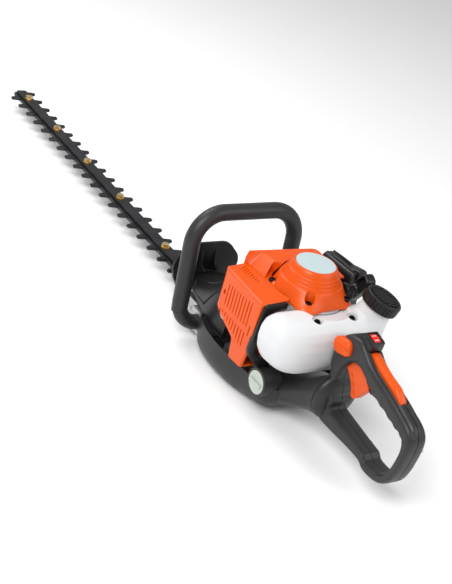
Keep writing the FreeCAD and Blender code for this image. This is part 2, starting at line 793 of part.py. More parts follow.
def cylinder_cover():
    """The ribbed cover over cylinder and silencer: an open-backed shell with a raised block on top."""
    left = size("cover_left")
    front = size("cover_front")
    rear = size("cover_rear")
    side = [(front, 173), (rear, 169), (-20, 92), (-15, 63), (14, 61), (18, 89), (front, 108)]
    outer = polygon(side, 38, left - 38)
    room = [(front - 3, 170), (-40, 166), (-40, 66), (11, 64), (15, 91), (front - 3, 110)]
    inner = polygon(room, 30, left - 33)
    roof_outline = [(front, 120), (front, 192), (20, 190), (20, 169), (front - 30, 169), (front - 30, 120)]
    block_solid = polygon(roof_outline, -62, 124)
    block_room = polygon([(front - 3, 110), (front - 3, 189), (10, 187), (10, 110)], -70, 129)
    corners = [Vector(0, y, z) for y, z in ((62, 192), (90, 171), (38, 171), (38, 192), (62, 192))]
    wedge = Part.Face(Part.makePolygon(corners)).extrude(Vector(42, 0, 0))
    wedge.translate(Vector(30, 0, 0))
    solid = outer.fuse([block_solid, wedge]).cut([inner, block_room]).removeSplitter()
    fan = rod("dims.starter_radius + 0.3", 60, (0, 0, 150))
    lug_room = rod(6.5, 60, (*SCREW_PLACES[0], 150))
    fin_room = block(36, 64, 64, (36, -32, 66))
    silencer_room = block(52, 49, 26, (17, 35, 86))
    louvres = []
    for index in range(8):
        x = 56 - 9 * index
        louvres.append(block(3.2, 6, 26, (x, left - 5, 136)))
        louvres.append(block(3.2, 6, 26, (x, left - 5, 104)))
    rooms = [fan, lug_room, fin_room, silencer_room]
    piece("cylinder_cover", cut(made(solid), *rooms, *louvres))
    frame = polygon([(-24, 165.5), (-27, 165.5), (-27, 95), (-24, 95)], 47, 39)
    window = polygon([(-20, 158), (-30, 158), (-30, 102), (-20, 102)], 53, 27)
    piece("heat_shield", made(frame.cut(window)))


def section(x, half_y, low, high, power=2.6):
    """A closed rounded section standing on the plane at x."""
    middle = (low + high) / 2
    return [(x, y, middle + z) for y, z in oval(half_y, (high - low) / 2, power)]


COWL_LOW = 30
COWL_SECTIONS = [
    # station along x, half width, top
    (75, 60, 128),
    (110, 60, 124),
    (150, 52, 98),
    (195, 42, 74),
    (227, 32, 60),
]


def cowl_skin(inset):
    """The cowl's outside, or its inside when inset."""
    rings = []
    for x, half, high in COWL_SECTIONS:
        rings.append(ring(section(x, half - inset, 2 * COWL_LOW - high + inset, high - inset)))
    return loft(rings)


def cowl():
    """The black cowl over the gear case, from the hand guard back to the cylinder cover."""
    outer = cowl_skin(0)
    inner = cowl_skin(size("shell_wall"))
    lid = made(outer.cut(inner))
    below = block(260, 200, 200, (20, -100, -151.5))
    cylinder_room = block(70, 70, 160, (30, -35, 40))
    piece("cowl", cut(lid, below, cylinder_room))


def hand_guard():
    """The upright plate between blades and front handle, with two gussets behind it."""
    half = size("guard_half")
    top = size("guard_top")
    outline = [
        (-half, 76), (-32, top), (32, top), (half, 76),
        (52, 48), (34, 16), (-34, 16), (-52, 48),
    ]
    stand = Rotation(Vector(0, 0, 1), Vector(1, 0, 0), Vector(0, 1, 0), "ZXY")
    corners = [Vector(size("guard_x"), y, z) for y, z in outline]
    face = Part.Face(Part.makePolygon(corners + [corners[0]]))
    solid = face.extrude(Vector(size("guard_thick"), 0, 0))
    corner_edges = []
    for edge in solid.Edges:
        if abs(edge.Vertexes[0].X - edge.Vertexes[-1].X) > 1 and edge.Vertexes[0].Z > 60:
            corner_edges.append(edge)
    solid = solid.makeFillet(28, corner_edges)
    gate = block(20, 60, 20, ("dims.guard_x - 5", -30, 16))
    ribs = []
    for side in (-1, 1):
        rib = polygon([(232, 58), (232, 96), (226, 72), (214, 68)], side * 12 - 1.5, 3)
        ribs.append(made(rib))
    piece("hand_guard", join(cut(made(solid), gate), *ribs))
    screws = [rod(4, 3, (236, y, 45), "X") for y in (-18, 18)]
    piece("guard_screws", group(*screws))


# ---------------------------------------------------------------- fuel tank

TANK_LEVELS = [
    # height, front x, rear x, left y, right y
    (82, -36, -64, 50, -54),
    (94, -34, -76, 70, -72),
    (112, -33, -88, 90, -86),
    (134, -33, -92, 95, -90),
    (152, -38, -88, 93, -92),
    (162, -48, -72, 80, -90),
]


def tank_ring(height, front, rear, left, right, inset):
    """One level of the tank."""
    middle_x, middle_y = (front + rear) / 2, (left + right) / 2
    points = oval((front - rear) / 2 - inset, (left - right) / 2 - inset, 2.8)
    return ring([(middle_x + x, middle_y + y, height) for x, y in points])


def cap_place():
    """The filler cap's seat and the way its axis points."""
    return Vector(-66, -74, 176), Vector(-0.16, -0.28, 1).normalize()


def aimed(radius, length, start, way):
    """A round bar from a point, along any direction."""
    item = doc.addObject("Part::Cylinder", "aimed")
    bind(item, Radius=radius, Height=length)
    item.Placement = Placement(start, Rotation(Vector(0, 0, 1), way))
    return item


def fuel_tank():
    """The moulded tank with its filler neck, cap, screws, and the fuel line and filter inside."""
    outer = loft([tank_ring(*level, 0) for level in TANK_LEVELS])
    levels = [(low + (3 if low < 100 else -3 if low > 155 else 0), *rest) for low, *rest in TANK_LEVELS]
    inner = loft([tank_ring(*level, 3) for level in levels])
    seat, way = cap_place()
    clear = [
        rod("dims.fan_radius + 0.4", 60, (0, 0, "dims.fan_low - 1")),
        rod("dims.case_radius + 0.5", 90, (0, 0, 60)),
    ]
    neck = aimed("dims.neck_radius", 30, seat - way * 28, way)
    bore = aimed("dims.neck_radius - 3", 50, seat - way * 36, way)
    holes = [rod(2.6, 6, (-66, y, 158)) for y in (-29, 29)]
    shell = cut(join(made(outer), neck), made(inner), bore, *clear, *holes)
    piece("fuel_tank", shell)
    skirt = aimed("dims.cap_radius", "dims.cap_deep", seat, way)
    room = aimed("dims.neck_radius + 0.4", 8, seat - way * 5.5, way)
    grip = aimed("dims.cap_radius - 5", 3, seat + way * 13, way)
    piece("fuel_cap", cut(join(skirt, grip), room))
    piece("fuel_pickup", join(rod(6, 16, (-60, -38, 96)), rod(2.5, 28, (-60, -38, 110))))


# ---------------------------------------------------------------- frame

BASE_LEVELS = [
    # height, then half widths at the stations along x
    (0, -30, 30, 46, 54, 60, 60, 45, 139),
    (11, -50, 48, 60, 68, 73, 70, 52, 140),
    (48, -66, 54, 66, 71, 75, 72, 56, 141),
]


def base_ring(level, inset):
    """One level of the base tub, from its narrow rear round to its blunt front."""
    height, rear, *halves, front = level
    stations = [rear + 14, rear + 40, 18, 58, 96, front - 3]
    right = [(x, -half) for x, half in zip(stations, halves)]
    left = [(x, half) for x, half in zip(stations, halves)]
    outline = [(rear, 0), *right, (front, 0), *reversed(left)]
    return ring([(x, y, height) for x, y in shrink(outline, inset)])


def base_housing():
    """The lower housing: a tub under the engine and a neck that rises to the swivel collar."""
    outer = loft([base_ring(level, 0) for level in BASE_LEVELS])
    hollow_levels = [(3, *BASE_LEVELS[0][1:]), (12, *BASE_LEVELS[1][1:]), (60, *BASE_LEVELS[2][1:])]
    hollow = loft([base_ring(level, 3) for level in hollow_levels])
    collar = size("swivel_x") + 0.3
    neck_sections = [(-20, 52, 12, 56, 3.4), (-52, 46, 18, 67, 3.0), (-80, 40, 30, 84, 2.4)]
    rings = [section(x, y, low, high, power) for x, y, low, high, power in neck_sections]
    radius = size("collar_radius")
    middle = size("swivel_z")
    rings.append(section(collar, radius, middle - radius, middle + radius, 2.0))
    neck = loft([ring(points) for points in rings])
    inside = [section(x, y - 3, low + 3, high - 3, power) for x, y, low, high, power in neck_sections]
    inside.append(section(collar + 4, radius - 3, middle - radius + 3, middle + radius - 3, 2.0))
    throat = loft([ring(points) for points in inside])
    engine_room = rod("dims.drum_radius + 7", 60, (0, 0, 40))
    boss = rod("dims.plug_radius + 3.5", 30, (-35, 40, 50), "Y")
    plug_bore = rod("dims.plug_radius + 0.4", 9, (-35, 62, 50), "Y")
    tub = made(outer.fuse(neck).cut(hollow.fuse(throat)).removeSplitter())
    pan_room = case_body("pan_room", case_outline(4), 60, "dims.case_low")
    gate = block(90, 102, 80, (105, -51, 4.5))
    housing = cut(join(cut(tub, engine_room), boss), plug_bore, pan_room, gate)
    shaft = rod(9, 17, (collar - 12, 0, middle), "X")
    keeper = rod(13, 4, (collar - 12, 0, middle), "X")
    piece("base_housing", join(housing, shaft, keeper))
    disc = rod("dims.plug_radius", 8, (-35, 62.4, 50), "Y")
    bar = block(26, 3.2, 4, (-48, 70.4, 48))
    piece("twist_plug", join(disc, bar))


def vibration_mounts():
    """Rubber mounts between the engine's underside and the base."""
    mounts = []
    for x, y in ((84, 44), (84, -44)):
        mounts.append(rod(7, 20, (x, y, 35)))
    piece("vibration_mounts", group(*mounts))


def handle_path():
    """The front handle's centre line: a loop in a leaning plane, open at the bottom middle."""
    half, high, low = size("tube_half"), size("tube_high"), size("tube_low")
    corners = [(30, low), (half, low), (half, high), (-half, high), (-half, low), (-30, low)]
    radii = [0, 34, 44, 44, 34, 0]
    points = [Vector(0, y + size("tube_shift"), z) for y, z in corners]
    edges = []
    last = points[0]
    for index in range(1, 5):
        corner = points[index]
        before = (points[index - 1] - corner).normalize()
        after = (points[index + 1] - corner).normalize()
        radius = radii[index]
        start = corner + before * radius
        middle = corner + (before + after) * (radius * (1 - math.sqrt(0.5)))
        end = corner + after * radius
        edges += [Part.LineSegment(last, start).toShape(), Part.Arc(start, middle, end).toShape()]
        last = end
    edges.append(Part.LineSegment(last, points[5]).toShape())
    return Part.Wire(edges)


def front_handle():
    """The front handle's bent tube."""
    path = handle_path()
    lean = Placement(Vector(size("tube_x"), 0, 0), Rotation(Vector(0, 1, 0), size("tube_lean")))
    start = Vector(0, 30 + size("tube_shift"), size("tube_low"))
    circle = Part.Wire([Part.Circle(start, Vector(0, 1, 0), size("tube_radius")).toShape()])
    bore = Part.Wire([Part.Circle(start, Vector(0, 1, 0), size("tube_radius") - 3).toShape()])
    tube = path.makePipeShell([circle], True, True).cut(path.makePipeShell([bore], True, True))
    tube.transformShape(lean.toMatrix())
    piece("front_handle", made(tube))


# ---------------------------------------------------------------- rear handle

HANDLE_OUTER = [
    (-114, 40), (-113.5, 50), (-113.5, 74), (-113.5, 98), (-111.5, 109.5), (-101, 119), (-97, 136),
    (-97, 150), (-104, 166), (-118, 177),
    (-140, 180), (-158, 170), (-184, 158), (-206, 152), (-234, 144), (-258, 135), (-270, 127), (-273.5, 117),
    (-273, 96), (-268, 64), (-258, 44), (-246, 37), (-230, 33.5), (-214, 34), (-203, 39.5), (-190, 40),
    (-150, 38.5), (-128, 37.5),
]
HANDLE_OPENING = [
    (-128, 63), (-129, 76), (-127, 87), (-121, 93), (-118.5, 100), (-118.5, 115), (-124, 130), (-132, 141),
    (-141, 147), (-155, 147), (-167, 142), (-182, 130), (-206, 126), (-231, 119), (-252, 115), (-260, 108),
    (-261, 92), (-257, 70), (-250, 53), (-238, 47), (-225, 45), (-214, 47), (-207, 53), (-197, 54), (-166, 58),
]
SWITCH_BOX = [(-121, 176), (-124, 181), (-138, 192), (-157, 187), (-156, 172), (-140, 168)]
LOCK_BAR = [
    (-152, 160), (-153, 168), (-160, 172), (-192, 163), (-214, 160), (-224, 155), (-229, 147), (-224, 141),
    (-196, 147),
]
TRIGGER_PIVOT = (-137, 158)
TRIGGER = [
    (-131, 152), (-122, 132), (-122, 126), (-138, 115), (-146, 98), (-153, 100), (-166, 119), (-172, 128),
    (-160, 143), (-144, 154),
]
TRIGGER_ROOM = [(-120.5, 121), (-120.5, 160), (-126, 167), (-148, 167), (-176, 152), (-192, 142), (-192, 118), (-150, 112)]


def handle_layer(points, inset, y):
    """A handle outline at one distance from the middle plane."""
    return ring([(x, y, z) for x, z in shrink(points, inset)])


def handle_slab(points, inset, side, near, far):
    """A handle outline run straight between two distances from the middle plane."""
    face = Part.Face(handle_layer(points, inset, side * near))
    return face.extrude(Vector(0, side * (far - near), 0))


def handle_skin(points, edge, side):
    """A handle outline run out to the side face, its last stretch drawn in by `edge`."""
    half = size("grip_half")
    knee = half - 8
    lean = loft([handle_layer(points, 0, side * knee), handle_layer(points, edge, side * half)], True)
    return handle_slab(points, 0, side, 0, knee).fuse(lean)


def handle_half(side):
    """One moulded half of the rear handle before its openings are cut."""
    wall = size("shell_wall") + 0.2
    solid = handle_skin(HANDLE_OUTER, 5, side).cut(handle_skin(HANDLE_OPENING, -1.5, side))
    for depth, inset in ((7.5, wall), (12, wall + 2)):
        room = handle_slab(HANDLE_OUTER, inset, side, 0, depth)
        solid = solid.cut(room.cut(handle_slab(HANDLE_OPENING, -inset, side, 0, depth)))
    return solid


def half_space(side):
    """Everything on one side of the middle plane round the rear handle."""
    return block(260, 60, 260, (-330, 0 if side > 0 else -60, -10))


def swivel_cone(side):
    """Half of the round collar that turns against the base's neck."""
    middle = size("swivel_z")
    length = 22
    start = size("swivel_x") - 0.3 - length
    wide = cone(22, "dims.collar_radius", length, (start, 0, middle), "X")
    common = doc.addObject("Part::Common", "half")
    common.Base = wide
    common.Tool = half_space(side)
    return common


def rear_handle():
    """Both halves of the rear handle and the parts let into it."""
    middle = size("swivel_z")
    start = size("swivel_x")
    for side, label in ((1, "rear_handle_left"), (-1, "rear_handle_right")):
        tools = [
            rod(9.3, 12, (start - 10, 0, middle), "X"),
            rod(13.5, 6, (start - 12.8, 0, middle), "X"),
            made(polygon(shrink(SWITCH_BOX, -0.05), -9.5, 19)),
            made(polygon(shrink(LOCK_BAR, -4), -7, 14)),
            made(polygon(TRIGGER_ROOM, -7, 14)),
        ]
        reach = size("grip_half") - 1
        pin_x, pin_z = TRIGGER_PIVOT
        pin = rod(3, reach, (pin_x, 0 if side > 0 else -reach, pin_z), "Y")
        if side > 0:
            tools.append(made(latch_shape(0.4, 4, 20)))
        shell = cut(join(made(handle_half(side)), swivel_cone(side)), *tools)
        piece(label, join(shell, pin))
    screws = [rod(3, 3, (x, -18.7, z), "Y") for x, z in ((-118, 164), (-172, 150), (-267, 100), (-186, 48))]
    piece("handle_screws", group(*screws))


def latch_shape(grow, start, length):
    """The swivel latch: a round-ended bar set in the left half's upper front corner."""
    centre = Vector(-115, 0, 155)
    edges = rounded(rectangle(0, 0, 18 + grow, 9.5 + grow), 9.4 + grow)
    wire = Part.Wire([edge.toShape() for edge in edges])
    solid = Part.Face(wire).extrude(Vector(0, 0, length))
    lean = Rotation(Vector(0, 1, 0), -148)
    upright = lean.multiply(Rotation(Vector(1, 0, 0), 90))
    solid.Placement = Placement(centre + Vector(0, start + length, 0), upright)
    return solid


def controls():
    """Throttle trigger, throttle lock, stop switch and swivel latch, each a moving piece."""
    lever = made(polygon(TRIGGER, -6, 12))
    pin_x, pin_z = TRIGGER_PIVOT
    hub = rod(7, 12, (pin_x, -6, pin_z), "Y")
    piece("throttle_trigger", cut(join(lever, hub), rod(3.08, 30, (pin_x, -15, pin_z), "Y")))
    lock_hub = rod(4, 12, (-153, -6, 164), "Y")
    piece("throttle_lock", join(made(polygon(LOCK_BAR, -6, 12)), lock_hub))
    box = made(polygon(SWITCH_BOX, -9.5, 19))
    recess = block(16, 13, 10, (-155.5, -6.5, 180))
    piece("switch_box", cut(box, recess))
    rocker = block(14, 11, 7.5, (-154.5, -5.5, 181.5))
    trunnion = rod(2.5, 12.4, (-148, -6.2, 185.5), "Y")
    piece("stop_switch", join(rocker, trunnion))
    piece("swivel_latch", made(latch_shape(0, 9, 12)))


# ---------------------------------------------------------------- build and write


def build():
    """Every sub-part, from the blades back to the rear handle."""
    gap = size("slide_gap")
    blade("upper_blade", size("cut_plane") + gap, False)
    blade("lower_blade", size("cut_plane") - gap, True)
    guide_bar()
    blade_bolts()
    gear_case()
    gear_bearings()
    case_bolts()
    drive_gear()
    clutch_drum()
    clutch()
    crankcase()
    crankshaft()
    piston_set()
    cylinder()
    spark_plug()
    flywheel()
    muffler()
    intake()
    starter()
    starter_pull()
    cylinder_cover()
    cowl()
    hand_guard()
    fuel_tank()
    base_housing()
    vibration_mounts()
    front_handle()
    rear_handle()
    controls()


def check():
    """Stop on any failed object or bad shape."""
    for item in doc.Objects:
        if {"Invalid", "Error"} & set(item.State):
            raise RuntimeError(f"{item.Name} ({item.Label}) failed: {item.State}")
    for item in PIECES:
        shape = item.Shape
        if shape.isNull() or not shape.isValid() or not shape.Solids:
            raise RuntimeError(f"{item.Label} has no valid solid")


def write():
    """One STEP file for each sub-part."""
    os.makedirs("parts", exist_ok=True)
    for item in PIECES:
        item.Shape.exportStep(f"parts/{item.Label}.step")
        box = item.Shape.BoundBox
        print(f"{item.Label:20s} solids {len(item.Shape.Solids):2d} volume {item.Shape.Volume:10.0f} "
              f"x {box.XMin:7.1f} {box.XMax:7.1f} y {box.YMin:6.1f} {box.YMax:6.1f} "
              f"z {box.ZMin:6.1f} {box.ZMax:6.1f}")


build()
doc.recompute()
check()
write()
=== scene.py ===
"""Looks of the petrol hedge trimmer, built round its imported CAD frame."""
import json
import math

import bmesh
import bpy
from mathutils import Matrix, Vector
from mathutils.bvhtree import BVHTree


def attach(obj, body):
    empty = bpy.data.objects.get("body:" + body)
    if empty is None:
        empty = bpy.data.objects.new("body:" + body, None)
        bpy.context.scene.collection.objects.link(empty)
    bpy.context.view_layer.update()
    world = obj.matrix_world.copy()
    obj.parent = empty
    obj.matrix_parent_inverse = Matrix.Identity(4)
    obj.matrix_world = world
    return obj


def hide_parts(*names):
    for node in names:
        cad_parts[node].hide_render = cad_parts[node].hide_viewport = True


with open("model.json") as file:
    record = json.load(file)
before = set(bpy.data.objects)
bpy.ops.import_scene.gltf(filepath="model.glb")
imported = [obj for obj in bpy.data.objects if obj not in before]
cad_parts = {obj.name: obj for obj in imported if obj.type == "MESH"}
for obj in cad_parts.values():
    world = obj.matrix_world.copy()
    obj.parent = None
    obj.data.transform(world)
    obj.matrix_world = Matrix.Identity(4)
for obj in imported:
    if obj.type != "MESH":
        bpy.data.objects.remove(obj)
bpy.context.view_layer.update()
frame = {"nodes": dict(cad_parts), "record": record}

NODES = frame["nodes"]
MM = 0.001


# ---------------------------------------------------------------- materials

SPECULAR = 0.34
# The painted edge highlight: its radius, its strength and which edges carry it.
EDGE_RADIUS = 0.0009
EDGE_SHARE = 0.35
SHARP_EDGE = (0.97, 0.80)
METAL_SPREAD = 0.15
MIX_FROM, MIX_TO, MIX_COLOR = 6, 7, 2


def shader(name, color, roughness, metallic=0.0):
    """A material with its principled shader, ready for more nodes."""
    material = bpy.data.materials.new(name)
    material.use_nodes = True
    principled = material.node_tree.nodes["Principled BSDF"]
    principled.inputs["Base Color"].default_value = (*color, 1.0)
    principled.inputs["Roughness"].default_value = roughness
    principled.inputs["Metallic"].default_value = metallic
    return material, material.node_tree, principled


def noise(tree, scale, detail=3.0, stretch=None):
    """A noise texture in object space, stretched along one axis if asked."""
    place = tree.nodes.new("ShaderNodeTexCoord")
    texture = tree.nodes.new("ShaderNodeTexNoise")
    texture.inputs["Scale"].default_value = scale
    texture.inputs["Detail"].default_value = detail
    source = place.outputs["Object"]
    if stretch:
        mapping = tree.nodes.new("ShaderNodeMapping")
        mapping.inputs["Scale"].default_value = stretch
        tree.links.new(source, mapping.inputs["Vector"])
        source = mapping.outputs["Vector"]
    tree.links.new(source, texture.inputs["Vector"])
    return texture.outputs["Fac"]


def ramp(tree, source, low, high, start=0.35, end=0.65):
    """A colour ramp between two colours."""
    node = tree.nodes.new("ShaderNodeValToRGB")
    node.color_ramp.elements[0].position = start
    node.color_ramp.elements[1].position = end
    node.color_ramp.elements[0].color = (*low, 1.0)
    node.color_ramp.elements[1].color = (*high, 1.0)
    tree.links.new(source, node.inputs["Fac"])
    return node.outputs["Color"]


def span(tree, source, low, high):
    """A value mapped from 0..1 to low..high."""
    node = tree.nodes.new("ShaderNodeMapRange")
    node.inputs["To Min"].default_value = low
    node.inputs["To Max"].default_value = high
    tree.links.new(source, node.inputs["Value"])
    return node.outputs["Result"]


def bump(tree, principled, source, strength, distance):
    """A bump from a height source, added on top of any bump already there."""
    node = tree.nodes.new("ShaderNodeBump")
    node.inputs["Strength"].default_value = strength
    node.inputs["Distance"].default_value = distance
    tree.links.new(source, node.inputs["Height"])
    normal = principled.inputs["Normal"]
    if normal.is_linked:
        tree.links.new(normal.links[0].from_socket, node.inputs["Normal"])
    tree.links.new(node.outputs["Normal"], normal)


def painted_edge_highlight(tree, base, highlight_color):
    """The base colour, drawn towards a lighter one along sharp edges: a painted highlight where a rounded
    edge would catch the light.
    """
    geometry = tree.nodes.new("ShaderNodeNewGeometry")
    bevel = tree.nodes.new("ShaderNodeBevel")
    bevel.inputs["Radius"].default_value = EDGE_RADIUS
    dot = tree.nodes.new("ShaderNodeVectorMath")
    dot.operation = "DOT_PRODUCT"
    tree.links.new(geometry.outputs["Normal"], dot.inputs[0])
    tree.links.new(bevel.outputs["Normal"], dot.inputs[1])
    turn = tree.nodes.new("ShaderNodeMapRange")
    turn.inputs["From Min"].default_value = SHARP_EDGE[0]
    turn.inputs["From Max"].default_value = SHARP_EDGE[1]
    turn.inputs["To Min"].default_value = 0.0
    turn.inputs["To Max"].default_value = EDGE_SHARE
    tree.links.new(dot.outputs["Value"], turn.inputs["Value"])
    mix = tree.nodes.new("ShaderNodeMix")
    mix.data_type = "RGBA"
    tree.links.new(turn.outputs["Result"], mix.inputs["Factor"])
    tree.links.new(base, mix.inputs[MIX_FROM])
    mix.inputs[MIX_TO].default_value = (*highlight_color, 1.0)
    return mix.outputs[MIX_COLOR]


def moulded(name, color, roughness, spread=0.06, grain=900.0, relief=0.12, highlight_color=None):
    """Moulded plastic: faint mottling, fine spark-eroded grain, and a painted highlight along sharp edges.
    """
    material, tree, principled = shader(name, color, roughness)
    low = [max(0.0, c * (1 - spread)) for c in color]
    high = [min(1.0, c * (1 + spread)) for c in color]
    base = ramp(tree, noise(tree, 14.0), low, high)
    # A lighter colour painted along sharp edges as a highlight.
    if highlight_color:
        base = painted_edge_highlight(tree, base, highlight_color)
    tree.links.new(base, principled.inputs["Base Color"])
    smear = span(tree, noise(tree, 45.0, 4.0), roughness - 0.07, roughness + 0.07)
    tree.links.new(smear, principled.inputs["Roughness"])
    bump(tree, principled, noise(tree, 60.0, 2.0), 0.05, 0.0006)
    bump(tree, principled, noise(tree, grain, 2.0), relief, 0.00012)
    principled.inputs["Specular IOR Level"].default_value = SPECULAR
    return material


def metal(name, color, roughness, stretch=None, relief=0.1):
    """Bare or oxidised metal with directional grinding marks when stretched."""
    material, tree, principled = shader(name, color, roughness, 1.0)
    low = [c * (1 - METAL_SPREAD) for c in color]
    high = [min(1.0, c * (1 + METAL_SPREAD)) for c in color]
    tree.links.new(ramp(tree, noise(tree, 25.0, 5.0), low, high), principled.inputs["Base Color"])
    marks = noise(tree, 220.0, 4.0, stretch)
    tree.links.new(span(tree, marks, roughness - 0.1, roughness + 0.12), principled.inputs["Roughness"])
    bump(tree, principled, marks, relief, 0.0002)
    return material


def translucent(name, color):
    """Milky blow-moulded tank plastic."""
    material, tree, principled = shader(name, color, 0.42)
    cloud = ramp(tree, noise(tree, 9.0, 4.0), [c * 0.96 for c in color], color, 0.3, 0.7)
    tree.links.new(cloud, principled.inputs["Base Color"])
    principled.inputs["Subsurface Weight"].default_value = 0.35
    principled.inputs["Subsurface Radius"].default_value = (0.02, 0.02, 0.022)
    principled.inputs["Subsurface Scale"].default_value = 0.4
    bump(tree, principled, noise(tree, 70.0, 3.0), 0.08, 0.0006)
    bump(tree, principled, noise(tree, 1100.0, 2.0), 0.06, 0.0001)
    return material


# The last colour given to each plastic is its painted edge highlight, a lighter copy of the same colour.
MATERIALS = {
    "dark_plastic": moulded("dark_plastic", (0.024, 0.024, 0.025), 0.40, 0.10, highlight_color=(0.06, 0.06, 0.06)),
    "black_plastic": moulded("black_plastic", (0.009, 0.009, 0.009), 0.36, 0.15, highlight_color=(0.04, 0.04, 0.04)),
    "orange_plastic": moulded(
        "orange_plastic", (0.70, 0.078, 0.0005), 0.34, 0.03, 700.0, 0.06, highlight_color=(0.85, 0.14, 0.004)
    ),
    "red_plastic": moulded("red_plastic", (0.72, 0.018, 0.006), 0.3, 0.03, 800.0, 0.05),
    "tank_plastic": translucent("tank_plastic", (0.67, 0.68, 0.69)),
    "label": moulded("label", (0.46, 0.56, 0.57), 0.35, 0.02, 500.0, 0.03),
    "cast_alloy": metal("cast_alloy", (0.60, 0.60, 0.61), 0.5, None, 0.35),
    "blade_steel": metal("blade_steel", (0.055, 0.056, 0.06), 0.42, (0.06, 1.0, 1.0), 0.15),
    "brass": metal("brass", (0.80, 0.56, 0.22), 0.32),
    "steel": metal("steel", (0.50, 0.50, 0.51), 0.35),
    "black_steel": metal("black_steel", (0.03, 0.03, 0.032), 0.4),
    "rubber": moulded("rubber", (0.02, 0.02, 0.02), 0.75, 0.2, 400.0, 0.2),
    "rope": moulded("rope", (0.12, 0.12, 0.12), 0.8, 0.3, 1500.0, 0.4),
    "nylon": moulded("nylon", (0.65, 0.64, 0.58), 0.5),
    "filter_foam": moulded("filter_foam", (0.18, 0.18, 0.18), 0.9, 0.3, 500.0, 0.5),
    "pale_plug": moulded("pale_plug", (0.50, 0.56, 0.50), 0.35, 0.05),
}


def dress(item, slot):
    """Give an object one of the machine's materials."""
    item.data.materials.clear()
    item.data.materials.append(MATERIALS[slot])


def dress_cad():
    """Every CAD node gets its slot's material."""
    for part in frame["record"]["subparts"]:
        dress(NODES[part["node"]], part["material_slot"])


# ---------------------------------------------------------------- shapes (lengths in mm)


def from_points(name, points, faces):
    """A mesh object from points in mm, its faces all turned outwards."""
    mesh = bpy.data.meshes.new(name)
    mesh.from_pydata([Vector(point) * MM for point in points], [], faces)
    shape = bmesh.new()
    shape.from_mesh(mesh)
    bmesh.ops.remove_doubles(shape, verts=shape.verts, dist=1e-6)
    bmesh.ops.recalc_face_normals(shape, faces=shape.faces)
    shape.to_mesh(mesh)
    shape.free()
    item = bpy.data.objects.new(name, mesh)
    bpy.context.scene.collection.objects.link(item)
    return item


def skin(name, rings, looped=False):
    """A surface through closed rings of equally many points, capped at both ends unless looped."""
    count = len(rings[0])
    points = [point for ring in rings for point in ring]
    faces = []
    for index in range(len(rings) if looped else len(rings) - 1):
        near, far = index * count, (index + 1) % len(rings) * count
        for step in range(count):
            after = (step + 1) % count
            faces.append((near + step, near + after, far + after, far + step))
    if not looped:
        faces.append(tuple(range(count)))
        faces.append(tuple(range(len(points) - count, len(points))))
    return from_points(name, points, faces)


def upright(u, v, w):
    """Outline in the XZ plane, depth along Y."""
    return (u, w, v)


def across(u, v, w):
    """Outline in the YZ plane, depth along X."""
    return (w, u, v)


def level(u, v, w):
    """Outline in the XY plane, depth along Z."""
    return (u, v, w)


def prism(name, outline, low, high, place=upright):
    """A straight prism over an outline."""
    return skin(name, [[place(u, v, w) for u, v in outline] for w in (low, high)])


def rounded(corners, radius, steps=5):
    """An outline with its corners rounded; a corner may carry its own radius."""
    result = []
    count = len(corners)
    for index, corner in enumerate(corners):
        here = Vector(corner[:2])
        before = Vector(corners[index - 1][:2]) - here
        after = Vector(corners[(index + 1) % count][:2]) - here
        own = corner[2] if len(corner) > 2 else radius
        reach = min(own, before.length * 0.49, after.length * 0.49)
        start = here + before.normalized() * reach
        end = here + after.normalized() * reach
        for step in range(steps + 1):
            t = step / steps
            point = start.lerp(here, t).lerp(here.lerp(end, t), t)
            result.append((point.x, point.y))
    return result


def oval(middle_u, middle_v, half_u, half_v, power=2.0, count=48):
    """A superellipse outline."""
    points = []
    for index in range(count):
        angle = 2 * math.pi * index / count
        c, s = math.cos(angle), math.sin(angle)
        u = middle_u + half_u * math.copysign(abs(c) ** (2 / power), c)
        v = middle_v + half_v * math.copysign(abs(s) ** (2 / power), s)
        points.append((u, v))
    return points


def square_to(way):
    """Two directions at right angles to a direction and to each other."""
    side = way.orthogonal().normalized()
    return side, way.cross(side)


def circle(centre, side, other, radius, count):
    """Points round a centre, in the plane of two directions."""
    ring = []
    for index in range(count):
        angle = 2 * math.pi * index / count
        ring.append(centre + (side * math.cos(angle) + other * math.sin(angle)) * radius)
    return ring


def rod(name, radius, start, end, sides=48, tip=None):
    """A round bar, or a cone frustum, between two points."""
    a, b = Vector(start), Vector(end)
    side, other = square_to((b - a).normalized())
    last = radius if tip is None else tip
    return skin(name, [circle(a, side, other, radius, sides), circle(b, side, other, last, sides)])


def lathe(name, profile, centre, way, sides=96):
    """A closed profile (radius, distance along) turned about an axis."""
    base, way = Vector(centre), Vector(way).normalized()
    side, other = square_to(way)
    return skin(name, [circle(base + way * along, side, other, radius, sides) for radius, along in profile])


def smooth_path(corners, steps=8, closed=False):
    """Points along a smooth curve through the corners."""
    points = [Vector(corner) for corner in corners]
    count = len(points)
    result = []
    for index in range(count if closed else count - 1):
        if closed:
            a, b, c, d = (points[(index + shift) % count] for shift in (-1, 0, 1, 2))
        else:
            b, c = points[index], points[index + 1]
            a = points[index - 1] if index else b * 2 - c
            d = points[index + 2] if index + 2 < count else c * 2 - b
        for step in range(steps):
            t = step / steps
            cubic = (d - a) + (b - c) * 3
            square = a * 2 - b * 5 + c * 4 - d
            result.append(b + ((c - a) * t + square * t * t + cubic * t * t * t) * 0.5)
    if not closed:
        result.append(points[-1])
    return result


def tube(name, path, radius, sides=40):
    """A round tube along points, its section carried without twist."""
    points = [Vector(point) for point in path]
    sizes = radius if isinstance(radius, list) else [radius] * len(points)
    side = None
    rings = []
    for index, point in enumerate(points):
        way = (points[min(index + 1, len(points) - 1)] - points[max(index - 1, 0)]).normalized()
        side = way.orthogonal() if side is None else side - way * side.dot(way)
        side.normalize()
        rings.append(circle(point, side, way.cross(side), sizes[index], sides))
    return skin(name, rings)


def applied(item):
    """The object with its modifiers made real."""
    graph = bpy.context.evaluated_depsgraph_get()
    mesh = bpy.data.meshes.new_from_object(item.evaluated_get(graph))
    item.modifiers.clear()
    item.data = mesh
    return item


